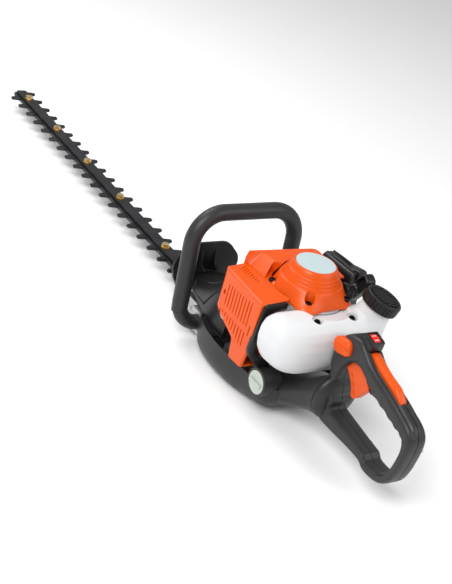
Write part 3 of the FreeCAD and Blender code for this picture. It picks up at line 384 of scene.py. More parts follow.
def combine(item, tools, operation):
    """The object with others cut from it, joined to it or kept in common."""
    for tool in tools:
        step = item.modifiers.new("combine", "BOOLEAN")
        step.object = tool
        step.operation = operation
        step.solver = "EXACT"
    applied(item)
    for tool in tools:
        bpy.data.objects.remove(tool)
    return item


def cut(item, *tools):
    """Tools taken away."""
    return combine(item, tools, "DIFFERENCE")


def join(item, *tools):
    """Tools made one with the object."""
    return combine(item, tools, "UNION")


def melt(item, voxel, rounds):
    """Blend a joined shape into one smooth moulding."""
    remesh = item.modifiers.new("remesh", "REMESH")
    remesh.mode = "VOXEL"
    remesh.voxel_size = voxel * MM
    soft = item.modifiers.new("soft", "SMOOTH")
    soft.factor = 0.5
    soft.iterations = rounds
    return applied(item)


def ease(item, width, segments=3, angle=30):
    """Round the sharp edges."""
    step = item.modifiers.new("ease", "BEVEL")
    step.width = width * MM
    step.segments = segments
    step.limit_method = "ANGLE"
    step.angle_limit = math.radians(angle)
    return applied(item)


def finish(item, slot, body, *nodes, crease=38):
    """Material, smooth shading and body; the piece stands for the named nodes."""
    item.data.shade_smooth()
    item.data.set_sharp_from_angle(angle=math.radians(crease))
    dress(item, slot)
    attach(item, body)
    if nodes:
        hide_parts(*nodes)
    return item


# ---------------------------------------------------------------- cylinder cover


COVER_SIDE = [(72, 171), (-24, 169, 4), (-21, 92, 3), (-16, 63, 3), (14, 61, 4), (18, 89, 5), (72, 109, 8)]
COVER_EDGE = [(64, 168), (-24, 167, 4), (-21, 93, 3), (-16, 64, 3), (13, 62, 4), (17, 90, 5), (64, 107, 8)]
COVER_FACE = 90
GROOVES = 9
GROOVE_PITCH = 7.0
LOUVRES = 8
LOUVRE_PITCH = 5.0


def cover_shell():
    """The slatted left box and the raised block that runs over to the right."""
    side = rounded(COVER_SIDE, 5)
    edge = rounded(COVER_EDGE, 5)
    box = skin("cylinder_cover_shell", [
        [upright(u, v + (6 if v > 150 else 0), 38) for u, v in side],
        [upright(u, v, 82) for u, v in side],
        [upright(min(u, 70), v, 87) for u, v in side],
        [upright(u, v, COVER_FACE) for u, v in edge],
    ])
    low = rounded([(72, 63, 3), (60, 58), (25, 55), (-6, 49), (-6, -62), (72, -62, 8)], 3)
    mid = rounded([(72, 62, 3), (60, 57), (25, 54), (-6, 48), (-6, -61), (71.5, -61, 8)], 3)
    top = rounded([(71, 60, 3), (64, 40), (38, 31), (-6, 26), (-6, -52), (65, -52, 10)], 3)
    block = skin("block", [
        [(x, y, 112) for x, y in low],
        [(x, y, 175 if x < 65 else 182) for x, y in mid],
        [(x, y, 192.5 - (72 - x) * 0.05) for x, y in top],
    ])
    return join(ease(box, 2.2, 3, 25), ease(block, 2.0, 3, 25))


def cover_room():
    """The inside of the cover and everything that stands in it."""
    room = prism("room", [(68, 164), (-40, 162), (-40, 66), (10, 66), (14, 93), (68, 113)], 30, 86)
    hall = prism("hall", [(68, 105), (68, 188), (-20, 186), (-20, 105)], -70, 23)
    wall = [(56, 100), (56, 166), (52, 174), (45.2, 186), (43.6, 190), (43.2, 220)]
    return [room, hall, lathe("well", wall, (0, 0, 0), (0, 0, 1))]


def cover_hole(name, outline, depth):
    """An opening let into the cover's left face."""
    return prism(name, outline, COVER_FACE - depth, COVER_FACE + 5)


def cover_marks():
    """Grooves, louvres and dark holes let into the cover's skin."""
    marks = []
    for index in range(GROOVES):
        x = 51 - GROOVE_PITCH * index
        foot = max(92 - 0.1 * index, 0.37 * (x - 18) + 97)
        for high, low in ((153 + 0.7 * index, 121), (113, foot)):
            outline = oval(x, (high + low) / 2, 1.25, (high - low) / 2, 5, 24)
            marks.append(cover_hole("groove", outline, 1.6))
    for height in (137, 107):
        marks.append(cover_hole("hole", oval(58, height, 2.2, 4.2), 6))
    marks.append(cover_hole("slit", oval(-13, 120, 0.9, 8.5, 6), 6))
    for index in range(LOUVRES):
        x = 52 - LOUVRE_PITCH * index
        corners = [(x, 85), (x + 1.7, 85), (x + 10.4, 64), (x + 8.7, 64)]
        marks.append(prism("louvre", corners, 171.2, 182, level))
    return marks


def cylinder_cover():
    """The orange cover over cylinder and silencer, with its marks and a bolt pocket."""
    shell = cut(cover_shell(), *cover_room())
    shell = cut(shell, *cover_marks())
    pocket = rounded([(13, 57), (26, 58), (44, 35), (36, 26), (20, 36)], 4)
    shell = cut(shell, prism("pocket", pocket, 174.5, 200, level))
    finish(shell, "orange_plastic", "machine", "cylinder_cover", crease=30)


def heat_frame():
    """The black frame in the cover's open rear."""
    outline = [(86, 167, 6), (50, 170, 3), (50, 60, 3), (70, 68, 10), (92, 92, 8)]
    outer = prism("heat_frame", rounded(outline, 5), -27.5, -20, across)
    window = [(79, 158, 12), (40, 162, 4), (40, 76, 4), (66, 80, 12), (82, 98, 12)]
    inner = prism("window", rounded(window, 5), -30, -10, across)
    finish(ease(cut(outer, inner), 1.0, 2), "black_plastic", "machine", "heat_shield")


# ---------------------------------------------------------------- starter

DOME = [
    # radius, height, how far the bolt lobes stand out
    (46.5, 164.5, 15), (48.5, 166, 14.5), (48.8, 168, 13.5), (48.2, 171, 10.5), (47.0, 175, 7.0),
    (45.6, 180, 4.2), (44.2, 185, 2.0), (43.0, 188.2, 0.8), (42.2, 189.2, 0), (41.2, 189.2, 0),
    (40.6, 190.2, 0), (40.3, 192.0, 0), (39.6, 192.9, 0), (38.6, 192.8, 0), (38.1, 193.8, 0),
    (37.7, 196.2, 0), (37.0, 197.2, 0), (36.0, 197.1, 0), (35.5, 198.0, 0), (35.0, 200.5, 0),
    (34.2, 201.6, 0), (33.4, 201.8, 0), (32.8, 203.2, 0), (31.8, 206.6, 0), (30.2, 209.4, 0),
    (28.8, 210.8, 0), (28.0, 211.0, 0), (27.7, 210.8, 0), (27.6, 210.0, 0),
]
DOME_SIDES = 144
LOBES = [
    # angle in degrees, share of the full reach
    (67, 0.62), (145, 1.0), (225, 0.95), (317, 0.8),
]
LOBE_SPREAD = 21
STARTER_BOLTS = [(20, 48, 174), (-39, 27, 171), (-39, -37, 173), (39, -37, 180)]
TANK_BOLT_X = -67
TANK_BOLT_Y = 29
ROPE_X = -24
ROPE_Z = 180
GRIP_LEAN = Matrix.Rotation(math.radians(-31), 4, "Y")
GRIP_MIDDLE = Vector((-23, -70, 181))


def lobe(angle):
    """How much the flange stands out at an angle: most at the bolts, least between them."""
    total = 0.0
    for place, share in LOBES:
        away = (angle - place + 180) % 360 - 180
        total += share * math.exp(-((away / LOBE_SPREAD) ** 2))
    return total


def starter():
    """The domed starter housing with concentric ridges and a lobed flange."""
    rings = []
    for radius, height, reach in DOME:
        ring = []
        for index in range(DOME_SIDES):
            angle = 360 * index / DOME_SIDES
            r = radius + reach * lobe(angle)
            ring.append((r * math.cos(math.radians(angle)), r * math.sin(math.radians(angle)), height))
        rings.append(ring)
    dome = skin("starter_dome", rings)
    tools = []
    for place in STARTER_BOLTS:
        foot = Vector(place)
        out = Vector((foot.x, foot.y, 0)).normalized() * 2.1
        tools.append(rod("recess", 6.2, foot, foot + out + Vector((0, 0, 30)), 32, 8.5))
    tools.append(rod("mouth", 7.4, (ROPE_X, -70, ROPE_Z), (ROPE_X, -30, ROPE_Z), 32))
    finish(cut(dome, *tools), "orange_plastic", "machine", "starter_housing", crease=50)


def cover_bolts():
    """The bolts of the starter housing and the two at the top of the tank."""
    bolts = [socket_bolt(place, (0, 0, 1), 4.6, 4.4) for place in STARTER_BOLTS]
    for y in (-TANK_BOLT_Y, TANK_BOLT_Y):
        bolts.append(socket_bolt((TANK_BOLT_X, y, 161), (-0.35, 0, 1), 4.7, 5.0))
    bolts[0].name = "cover_bolts"
    finish(join(*bolts), "black_steel", "machine", "cover_screws")


def socket_bolt(place, way, radius, height):
    """A cylinder-head bolt with a hexagon socket and a chamfered rim."""
    base, way = Vector(place), Vector(way).normalized()
    profile = [(radius, 0), (radius, height * 0.78), (radius * 0.86, height), (radius * 0.55, height)]
    head = lathe("bolt", profile, base, way, 32)
    hexagon = rod("socket", radius * 0.5, base + way * height * 0.4, base + way * height * 1.2, 6)
    return cut(head, hexagon)


def rope_guide():
    """The black fairlead with its flared rear collar."""
    profile = [
        (9.5, 0), (10.0, 1.5), (10.0, 5), (9.2, 6.5), (6.6, 7.5),
        (6.2, 17), (7.8, 19), (8.4, 21), (7.8, 23), (3.4, 23),
    ]
    collar = lathe("rope_guide", profile, (ROPE_X, -39.5, ROPE_Z), (0, -1, 0), 48)
    bore = rod("bore", 3.2, (ROPE_X, -80, ROPE_Z), (ROPE_X, -30, ROPE_Z), 24)
    foot = prism("foot", rounded([(-33, -55), (-33, -40), (-15, -40), (-15, -55)], 4), 169, 184, level)
    guide = cut(join(collar, ease(foot, 1.2)), bore)
    finish(guide, "black_plastic", "machine", "rope_guide")


def on_grip(u, v, w):
    """A point of the pull grip: across, along and through its leaning bar."""
    return GRIP_MIDDLE + GRIP_LEAN @ Vector((u, w, v))


def starter_grip():
    """The T-shaped pull grip: a rounded bar, hollowed front and back, with a boss for the rope."""
    plan = [(-8.6, -27), (8.6, -27), (10.2, 0), (8.6, 27), (-8.6, 27), (-10.2, 0)]
    rings = []
    for depth, inset in ((-8.2, 2.0), (-6.6, 0.3), (-2, 0), (2, 0), (6.6, 0.3), (8.2, 2.0)):
        outline = rounded([(u * (1 - inset / 12), v * (1 - inset / 30)) for u, v in plan], 6.5)
        rings.append([on_grip(u, v, depth) for u, v in outline])
    bar = skin("starter_grip_bar", rings)
    hollows = []
    for low, high in ((-24, -7.5), (7.5, 24)):
        outline = rounded([(-5.6, low), (5.6, low), (5.6, high), (-5.6, high)], 3.2)
        for near, far in ((2.2, 12), (-12, -2.2)):
            hollows.append(prism("hollow", outline, near, far, on_grip))
    grip = cut(ease(bar, 0.6, 2), *hollows)
    boss = lathe("boss", [(5.6, -9), (6.0, 0), (5.4, 9.4), (3, 9.8)], GRIP_MIDDLE, (0, 1, 0), 32)
    finish(ease(join(grip, boss), 0.5, 2), "black_plastic", "starter_pull", "starter_grip")


# ---------------------------------------------------------------- fuel tank

TANK = [
    # height, front x, rear x, left y, right y
    (81.5, -46, -62, 30, -34),
    (83, -40, -68, 46, -48),
    (88, -36, -76, 62, -62),
    (96, -33, -84, 76, -74),
    (106, -33, -90, 88, -83),
    (118, -33, -93, 95, -88),
    (134, -33, -94, 98, -91),
    (148, -33, -92, 97, -92),
    (158, -34, -87, 93, -91),
    (165, -38, -79, 85, -87),
    (168.5, -46, -68, 74, -80),
]
TANK_PLAN = [
    # share of the half width (left +) and of the half depth (front +)
    (-1.0, 0.3), (-0.9, 0.85), (-0.62, 1.0), (0.62, 1.0), (0.92, 0.92), (1.0, 0.55), (1.0, 0.0),
    (0.93, -0.6), (0.7, -0.93), (0.3, -1.0), (-0.2, -0.98), (-0.6, -0.8), (-0.88, -0.3),
]
CAP_SEAT = Vector((-66, -71, 180))
CAP_WAY = Vector((-0.16, -0.28, 1)).normalized()
CAP_SKIRT = [
    # radius, distance along the axis, depth of the flutes
    (26.2, -1.5, 0.4), (26.8, -0.5, 0.9), (27.0, 2.0, 1.0), (27.0, 12.0, 1.0), (26.6, 13.6, 0.6),
    (25.6, 14.6, 0.0), (24.4, 14.9, 0.0), (23.6, 14.0, 0.0), (22.8, 13.5, 0.0), (12.0, 14.6, 0.0),
    (0.5, 14.9, 0.0),
]
CAP_SIDES = 216
CAP_FLUTES = 36
CAP_RIB_PITCH = 4.6
CAP_RIB_REACH = 21.5


def fuel_tank():
    """The blow-moulded tank: a swollen body, a saddle under the starter, and the filler neck."""
    rings = []
    for height, front, rear, left, right in TANK:
        corners = []
        for wide, deep in TANK_PLAN:
            x = (front + rear) / 2 + deep * (front - rear) / 2
            y = (left + right) / 2 + wide * (left - right) / 2
            corners.append((x, y, height))
        rings.append(smooth_path(corners, 6, True))
    body = skin("fuel_tank_body", rings)
    neck = lathe("neck", [(30, -38), (27, -26), (24, -15), (22.4, -6), (22, 1.5)], CAP_SEAT, CAP_WAY, 64)
    saddle = skin("saddle", [
        [(x, y, height) for x, y in oval(-30, 0, long, wide, 2.4)]
        for long, wide, height in ((40, 34, 162.5), (46, 40, 175), (56, 50, 190))
    ])
    solid = cut(join(body, neck), saddle)
    solid = melt(solid, 1.7, 10)
    engine = rod("engine", 53.5, (0, 0, 120), (0, 0, 200), 64)
    case = rod("case", 32, (0, 0, 60), (0, 0, 125), 64)
    recesses = [
        rod("recess", 7.0, (-66, y, 161), (-78, y, 196), 32, 13) for y in (-TANK_BOLT_Y, TANK_BOLT_Y)
    ]
    solid = cut(solid, engine, case, *recesses)
    bore = rod("bore", 17, CAP_SEAT - CAP_WAY * 30, CAP_SEAT + CAP_WAY * 10, 48)
    finish(cut(solid, bore), "tank_plastic", "machine", "fuel_tank", crease=50)


def cap_ribs():
    """Parallel ribs over the cap's crown, each as long as the crown allows."""
    left = Vector((0, 1, 0))
    run = (left - CAP_WAY * left.dot(CAP_WAY)).normalized()
    sideways = CAP_WAY.cross(run)
    ribs = []
    for index in range(-4, 5):
        offset = index * CAP_RIB_PITCH
        reach = math.sqrt(CAP_RIB_REACH ** 2 - offset ** 2)
        middle = CAP_SEAT + CAP_WAY * 13.4 + sideways * offset
        corners = [(-reach, -0.8), (reach, -0.8), (reach, 0.8), (-reach, 0.8)]
        rings = [[middle + run * a + sideways * b + CAP_WAY * h for a, b in corners] for h in (0, 2.2)]
        ribs.append(skin("rib", rings))
    return ribs


def fuel_cap():
    """The filler cap: a fluted skirt, a rolled rim and a ribbed crown."""
    side, other = square_to(CAP_WAY)
    rings = []
    for radius, along, depth in CAP_SKIRT:
        ring = []
        for index in range(CAP_SIDES):
            angle = 2 * math.pi * index / CAP_SIDES
            r = radius - depth * (0.5 - 0.5 * math.cos(angle * CAP_FLUTES)) ** 2
            out = (side * math.cos(angle) + other * math.sin(angle)) * r
            ring.append(CAP_SEAT + CAP_WAY * along + out)
        rings.append(ring)
    cap = skin("fuel_cap_shell", rings)
    ribs = cap_ribs()
    cap = cut(cap, rod("room", 22.4, CAP_SEAT - CAP_WAY * 6, CAP_SEAT + CAP_WAY * 8, 64))
    finish(join(cap, *ribs), "black_plastic", "fuel_cap", "fuel_cap", crease=25)


# ---------------------------------------------------------------- rear handle

HANDLE = [
    # outer x, outer z, inner x, inner z, half width, squareness: once round the loop
    (-111.6, 46, -127, 66, 17, 5.0),
    (-111.6, 70, -124, 74, 17, 5.0),
    (-111.0, 92, -121, 88, 16.5, 5.0),
    (-104.0, 110, -118.5, 102, 16, 4.5),
    (-98.5, 122, -119, 114, 15.5, 4.5),
    (-97.0, 137, -121.5, 124, 15.5, 4.5),
    (-97.5, 152, -126, 133, 15.5, 4.5),
    (-104.5, 166, -132, 141, 15.5, 4.5),
    (-119, 176.5, -140, 146, 15.5, 4.5),
    (-139, 180, -147.5, 147.5, 15.5, 4.2),
    (-154, 173, -156, 146.8, 15.5, 3.6),
    (-168, 164.5, -166, 142, 15.5, 3.2),
    (-184, 158.5, -175, 135, 15.5, 3.2),
    (-199, 154.5, -188, 129.5, 15.5, 3.2),
    (-214, 150.5, -204, 126.5, 15.5, 3.2),
    (-229, 146, -220, 123, 15.5, 3.2),
    (-243, 141, -235, 119, 15.5, 3.2),
    (-256, 136.5, -247, 117, 15.5, 3.2),
    (-266, 130.5, -256, 113.5, 15.5, 3.2),
    (-272.5, 121, -260.3, 107, 15.5, 3.2),
    (-274, 107, -261.3, 97, 15.5, 3.2),
    (-272, 88, -260, 84, 15.5, 3.4),
    (-268.5, 68, -257, 70, 15.5, 3.6),
    (-262, 50, -252.5, 57.5, 15.5, 4.0),
    (-252, 39.5, -246, 50, 15.5, 4.5),
    (-240, 34.5, -237, 46.5, 15.5, 5.0),
    (-225, 33, -225, 45, 15.5, 6.0),
    (-214, 34, -214, 46.5, 15.5, 6.0),
    (-205, 38.5, -207.5, 52.5, 15.5, 6.0),
    (-192, 40, -197, 54, 15.5, 6.0),
    (-170, 39.5, -175, 57, 15.5, 6.0),
    (-148, 38.5, -151, 60, 16, 6.0),
    (-128, 38, -134, 62.5, 16.5, 5.5),
    (-114, 39, -128.5, 63.5, 17, 5.0),
]
SECTION_STEPS = 72
LOOP_STEPS = 6
SEAM_HALF = 0.45
SWIVEL_X = -111
SWIVEL_Z = 74

# where the grip's straight run starts and ends, in rows of HANDLE, and how it fades in and out
GRIP_RUN = (10.6, 18.6)
GRIP_FADE = (1.2, 1.0)
# distance from the middle plane, width and height
CHANNEL = (8.6, 1.5, 1.7)
SHOULDER = (11.4, 1.4, 0.5)
CROWN_HALF = 6.8
CROWN_RISE = 1.5
# how deep the finger hollows are, then their spacing and first place in positions round the loop
FINGER_RISE = 1.8
FINGER_STEPS = 14.0
FINGER_START = 60


def grip_share(index, total):
    """How fully a loop position lies inside the grip's straight run, 0 to 1."""
    place = index * len(HANDLE) / total
    start, end = GRIP_RUN
    return max(0.0, min(1.0, (place - start) / GRIP_FADE[0], (end - place) / GRIP_FADE[1]))


def hump(y, shape):
    """A smooth rise on both sides of the middle plane: its place, its width and its height."""
    place, width, height = shape
    return math.exp(-(((abs(y) - place) / width) ** 2)) * height


def grip_relief(index, outside, y):
    """How far the grip's skin stands out: channels and a crown above, finger hollows below."""
    if outside:
        crown = math.exp(-((y / CROWN_HALF) ** 4)) * CROWN_RISE
        return crown + hump(y, SHOULDER) - hump(y, CHANNEL)
    return FINGER_RISE * math.cos((index - FINGER_START) * 2 * math.pi / FINGER_STEPS) ** 2


def handle_loop():
    """The D-shaped loop: a squared section carried round, with relief on the grip."""
    columns = [[(row[first], row[first + 1], 0) for row in HANDLE] for first in (0, 2, 4)]
    outer, inner, shape = (smooth_path(column, LOOP_STEPS, True) for column in columns)
    rings = []
    for index, (out, deep, size) in enumerate(zip(outer, inner, shape)):
        grip = grip_share(index, len(outer))
        middle = (out + deep) / 2
        reach = (out - deep) / 2
        ring = []
        for step in range(SECTION_STEPS):
            angle = 2 * math.pi * step / SECTION_STEPS
            c, s = math.cos(angle), math.sin(angle)
            power = size.y if c > 0 else max(size.y, 5.0)
            y = size.x * math.copysign(abs(s) ** (2 / power), s)
            share = math.copysign(abs(c) ** (2 / power), c)
            share += grip_relief(index, c > 0, y) * grip / reach.length
            ring.append((middle.x + reach.x * share, y, middle.y + reach.y * share))
        rings.append(ring)
    return skin("rear_handle_loop", rings, True)


def handle_collar():
    """The round swivel collar and the drum that swells from the front wall."""
    swell = [(36, 0), (36, 3), (34.5, 6), (30, 9), (24, 11.5), (17, 13)]
    collar = lathe("collar", swell, (SWIVEL_X - 0.4, 0, SWIVEL_Z), (-1, 0, 0))
    roll = [(12.4, -17.2), (13.6, -16.4), (13.6, 16.4), (12.4, 17.2)]
    return [collar, lathe("drum", roll, (-115.5, 0, 77), (0, 1, 0), 64)]


def handle_pockets():
    """Room in the handle for the lock, the trigger, the switch box, the latch and the swivel."""
    lock = [(-149, 160), (-150, 190), (-215, 190), (-234, 155), (-227, 135), (-196, 140)]
    lever = [(-120.5, 121), (-122, 163), (-150, 163), (-190, 142), (-190, 112)]
    switch = [(-121, 172), (-121, 200), (-158, 200), (-158, 176), (-140, 170)]
    swivel = [(9.3, -1), (9.3, 6), (13.6, 6), (13.6, 12)]
    return [
        prism("lock_channel", rounded(lock, 2), -6.9, 6.9),
        prism("trigger_slot", rounded(lever, 2), -7, 7),
        lathe("bore", swivel, (SWIVEL_X, 0, SWIVEL_Z), (-1, 0, 0), 48),
        prism("switch_seat", rounded(switch, 2), -9.4, 9.4),
        prism("latch_well", latch_outline(oval(0, 0, 17.2, 12.4, 3.2)), 5, 30),
    ]


def half_of(body, side, name):
    """A closed copy of the body's half on one side of the seam."""
    half = body.copy()
    half.data = body.data.copy()
    half.name = name
    bpy.context.scene.collection.objects.link(half)
    shape = bmesh.new()
    shape.from_mesh(half.data)
    geometry = shape.verts[:] + shape.edges[:] + shape.faces[:]
    split = bmesh.ops.bisect_plane(
        shape, geom=geometry, clear_inner=True,
        plane_co=(0, side * SEAM_HALF * MM, 0), plane_no=(0, side, 0),
    )
    rim = [edge for edge in split["geom_cut"] if isinstance(edge, bmesh.types.BMEdge)]
    bmesh.ops.triangle_fill(shape, edges=rim, use_beauty=True)
    shape.to_mesh(half.data)
    shape.free()
    return half


def rear_handle():
    """Both moulded halves of the rear handle, with the seam between them."""
    body = melt(join(handle_loop(), *handle_collar()), 0.9, 3)
    body = cut(body, *handle_pockets())
    for side, label in ((1, "left"), (-1, "right")):
        half = half_of(body, side, "rear_handle_shell_" + label)
        finish(half, "dark_plastic", "rear_handle", "rear_handle_" + label, crease=45)
    bpy.data.objects.remove(body)


LATCH_MIDDLE = (-115, 156.5)
LATCH_TURN = math.radians(166)
LATCH_LEVELS = [
    # depth, half length, half width
    (9, 16.4, 11.6), (16.5, 16.6, 11.8), (19.0, 16.2, 11.4), (20.6, 14.8, 10.0), (21.3, 12.4, 8.0),
]


def turned(points, angle, middle):
    """Points turned about the origin, then carried to a middle."""
    c, s = math.cos(angle), math.sin(angle)
    return [(middle[0] + u * c - v * s, middle[1] + u * s + v * c) for u, v in points]


def latch_outline(points):
    """Points of the latch's own plan, laid where it leans in the XZ plane."""
    return turned(points, LATCH_TURN, LATCH_MIDDLE)


def swivel_latch():
    """The orange swivel latch with a raised rib along its middle."""
    rings = []
    for depth, long, wide in LATCH_LEVELS:
        rings.append([(x, depth, z) for x, z in latch_outline(oval(0, 0, long, wide, 3.2))])
    body = skin("swivel_latch_body", rings)
    rib = rounded([(-14, -1.2), (14, -1.2), (14, 1.2), (-14, 1.2)], 1.0, 3)
    body = join(body, prism("rib", latch_outline(rib), 19, 22.4))
    finish(body, "orange_plastic", "swivel_latch", "swivel_latch", crease=35)


SLOT_TURN = math.radians(40)


def trigger():
    """The throttle trigger: a curved finger lever with three sunk slots on each side."""
    outline = rounded([
        (-127, 160), (-122, 140), (-121.5, 129), (-130, 122.5), (-137, 115.5), (-142, 107.5), (-145, 98.5),
        (-149, 97), (-154, 99.5), (-161, 110), (-172, 126), (-162, 142), (-146, 160),
    ], 2.5, 5)
    lever = ease(prism("throttle_trigger_lever", outline, -6.0, 6.0), 1.3, 3)
    slots = []
    for x, z, length in ((-136.5, 125.5, 3.4), (-144, 116, 4.8), (-149.5, 106, 5.0)):
        place = turned(oval(0, 0, length, 1.1, 4, 24), SLOT_TURN, (x, z))
        slots.append(prism("slot", place, 4.6, 9))
        slots.append(prism("slot", place, -9, -4.6))
    finish(cut(lever, *slots), "orange_plastic", "throttle_trigger", "throttle_trigger", crease=35)


def trigger_stop():
    """The small black stop under the grip, behind the trigger."""
    nub = [(-171, 128), (-179, 129), (-181, 124.5), (-176, 121.5), (-170, 124)]
    finish(ease(prism("trigger_stop", rounded(nub, 1.5), -4, 4), 0.8, 2), "black_plastic", "rear_handle")


LOCK_TOP = [
    # x, z of the crown, half width
    (-151, 166.5, 5.0), (-153, 170.5, 5.8), (-160, 173.5, 6.0), (-170, 171.0, 6.0), (-182, 166.6, 6.0),
    (-194, 163.0, 6.0), (-205, 160.8, 6.0), (-214, 158.6, 6.0), (-221, 154.6, 6.0), (-227, 149.5, 5.9),
    (-230.5, 144.5, 5.6), (-231, 141.5, 4.6),
]
LOCK_HALF_HEIGHT = 6.5


def lock_bar():
    """The orange throttle lock: a long pad in the grip's channel, tapering at both ends."""
    section = oval(0, 0, 1, 1, 3.4, 32)
    rings = []
    for x, top, half in smooth_path(LOCK_TOP, 4):
        middle = top - LOCK_HALF_HEIGHT
        rings.append([(x, u * half, middle + v * LOCK_HALF_HEIGHT) for u, v in section])
    bar = skin("throttle_lock_bar", rings)
    finish(bar, "orange_plastic", "throttle_lock", "throttle_lock", crease=50)


def switch_box():
    """The black switch housing with its facets and the recess for its key."""
    side = [
        (-121, 172, 4), (-123, 179, 3), (-130, 186, 3), (-138, 192, 2), (-157.5, 187.4, 2),
        (-156.5, 177, 3), (-145, 171, 3),
    ]
    low = prism("switch_housing", rounded(side, 2), -9.3, 9.3)
    belt = [(-137, 176), (-139, 188.6), (-156.8, 184.8), (-156, 174)]
    collar = prism("switch_collar", rounded(belt, 2), -10.6, 10.6)
    body = ease(join(low, ease(collar, 1.2, 2)), 0.9, 3)
    recess = [(-139.8, 181), (-139.8, 200), (-155.4, 200), (-155.4, 181)]
    body = cut(body, prism("recess", recess, -6.2, 6.2))
    finish(body, "black_plastic", "rear_handle", "switch_box", crease=30)


MARK_HALF = 0.75
MARK_SUNK = 0.8
MARK_PROUD = 0.12


def stop_rocker():
    """The red rocker key, with two pale bars across it."""
    side = [(-140.4, 182), (-140.4, 190.4), (-147.6, 189.6), (-154.8, 187.2), (-154.8, 182)]
    key = prism("stop_rocker_key", rounded(side, 0.8), -5.5, 5.5)
    finish(ease(key, 0.6, 3), "red_plastic", "stop_switch", "stop_switch", crease=30)
    marks = []
    for x, z, slope in ((-144.0, 190.0, 0.11), (-151.4, 188.3, 0.33)):
        rear, front = x - MARK_HALF, x + MARK_HALF
        low, high = z - MARK_HALF * slope, z + MARK_HALF * slope
        face = [
            (rear, low - MARK_SUNK), (rear, low + MARK_PROUD),
            (front, high + MARK_PROUD), (front, high - MARK_SUNK),
        ]
        marks.append(prism("stop_mark", face, -3.2, 3.2))
    finish(join(*marks), "label", "stop_switch")


# ---------------------------------------------------------------- front handle

FRONT_LEAN = Matrix.Rotation(math.radians(6), 4, "Y")
FRONT_FOOT = Vector((151, -5, 0))
FRONT_HALF = 89
FRONT_BENDS = [
    # y, z, bend radius
    (FRONT_HALF, 22, 34), (FRONT_HALF, 195, 46), (-FRONT_HALF, 195, 46), (-FRONT_HALF, 22, 34),
]
FRONT_ENDS = [(30, 22), (-30, 22)]
BEND_STEPS = 16
SLEEVE_LOW = 44
SLEEVE_SWELL = 60


def placed(points):
    """Points of the front handle's own plane, laid where it leans."""
    return [FRONT_FOOT + FRONT_LEAN @ Vector((0, y, z)) for y, z in points]


def front_route():
    """The front handle's centre line in its own plane, bent in round arcs."""
    corners = [FRONT_ENDS[0], *[(y, z) for y, z, _ in FRONT_BENDS], FRONT_ENDS[1]]
    route = [FRONT_ENDS[0]]
    for index, (y, z, radius) in enumerate(FRONT_BENDS):
        here = Vector((y, z))
        start = here + (Vector(corners[index]) - here).normalized() * radius
        end = here + (Vector(corners[index + 2]) - here).normalized() * radius
        centre = start + end - here
        for step in range(BEND_STEPS + 1):
            t = math.radians(90 * step / BEND_STEPS)
            point = centre + (start - centre) * math.cos(t) + (end - centre) * math.sin(t)
            route.append((point.x, point.y))
    return [*route, FRONT_ENDS[1]]


def front_handle():
    """The bent front handle: a tube with plain ends, in a grip sleeve."""
    route = front_route()
    bar = tube("front_handle_tube", placed(route), 11.2, 40)
    left = [(FRONT_HALF, SLEEVE_LOW), (FRONT_HALF, SLEEVE_SWELL)]
    right = [(-FRONT_HALF, SLEEVE_SWELL), (-FRONT_HALF, SLEEVE_LOW)]
    cover = [*left, *[(y, z) for y, z in route if z > SLEEVE_SWELL], *right]
    radii = [11.6] + [12.2] * (len(cover) - 2) + [11.6]
    sleeve = tube("front_handle_sleeve", placed(cover), radii, 48)
    finish(sleeve, "dark_plastic", "machine", crease=60)
    finish(bar, "dark_plastic", "machine", "front_handle", crease=60)


# ---------------------------------------------------------------- air filter cover


HOOD_STATIONS = [
    # x, inset of the outline, top
    (72.5, 3, 181), (71, 0.8, 183.5), (66, 0, 184.5), (30, 0, 186), (3, 0, 187.5), (1, 1, 187),
]
TAIL_STATIONS = [(24, 0, 186.5), (3, 0, 191), (-1.5, 0.8, 191.5), (-3, 3, 190)]


def filter_hood():
    """The long rounded hood."""
    rings = []
    for x, inset, top in HOOD_STATIONS:
        outline = rounded([
            (-69.3, 76 + inset, 2), (-69.3, top - 12, 5), (-74.5, top - inset, 6), (-90, top - inset, 8),
            (-97.5 + inset, top - 12, 8), (-98 + inset, 110, 5), (-94 + inset, 76 + inset, 6),
        ], 4)
        rings.append([(x, y, z) for y, z in outline])
    return skin("filter_cover_shell", rings)


def filter_tail():
    """The overhang at the hood's rear."""
    rings = []
    for x, inset, top in TAIL_STATIONS:
        outline = rounded([
            (-80.6, 172 + inset), (-80.6, top - inset), (-96.5 + inset, top - inset),
            (-97.2 + inset, 172 + inset),
        ], 4)
        rings.append([(x, y, z) for y, z in outline])
    return skin("tail", rings)


def filter_cover():
    """The black air filter cover: hood, overhang and two ridges, open towards the engine."""
    hood = filter_hood()
    tail = filter_tail()
    ridges = []
    for y in (-77.5, -89.5):
        path = [(69, y, 182.8), (40, y, 185.8), (6, y, 187.2)]
        ridges.append(tube("ridge", smooth_path(path, 4), 1.8, 16))
    room = prism("room", [(66, 82), (66, 150), (6, 150), (6, 82)], -82, -60)
    body = cut(join(ease(hood, 0.6, 2), ease(tail, 0.6, 2), *ridges), room)
    finish(body, "black_plastic", "machine", "filter_cover", crease=35)


# ---------------------------------------------------------------- cowl


ABOVE_ALL = 400
RIB_STEPS = 24
RIB_RUNS = [
    # y at the front, y at the rear, bow outwards
    (18, 26, 10), (30, 44, 14), (44, 60, 10),
]
LEAST_POINTS = 8


def drape(tree, places, lift):
    """Points laid on a surface from above, raised a little."""
    laid = []
    for x, y in places:
        hit = tree.ray_cast(Vector((x, y, ABOVE_ALL)) * MM, Vector((0, 0, -1)))[0]
        if hit:
            laid.append((x, y, hit.z / MM + lift))
    return laid


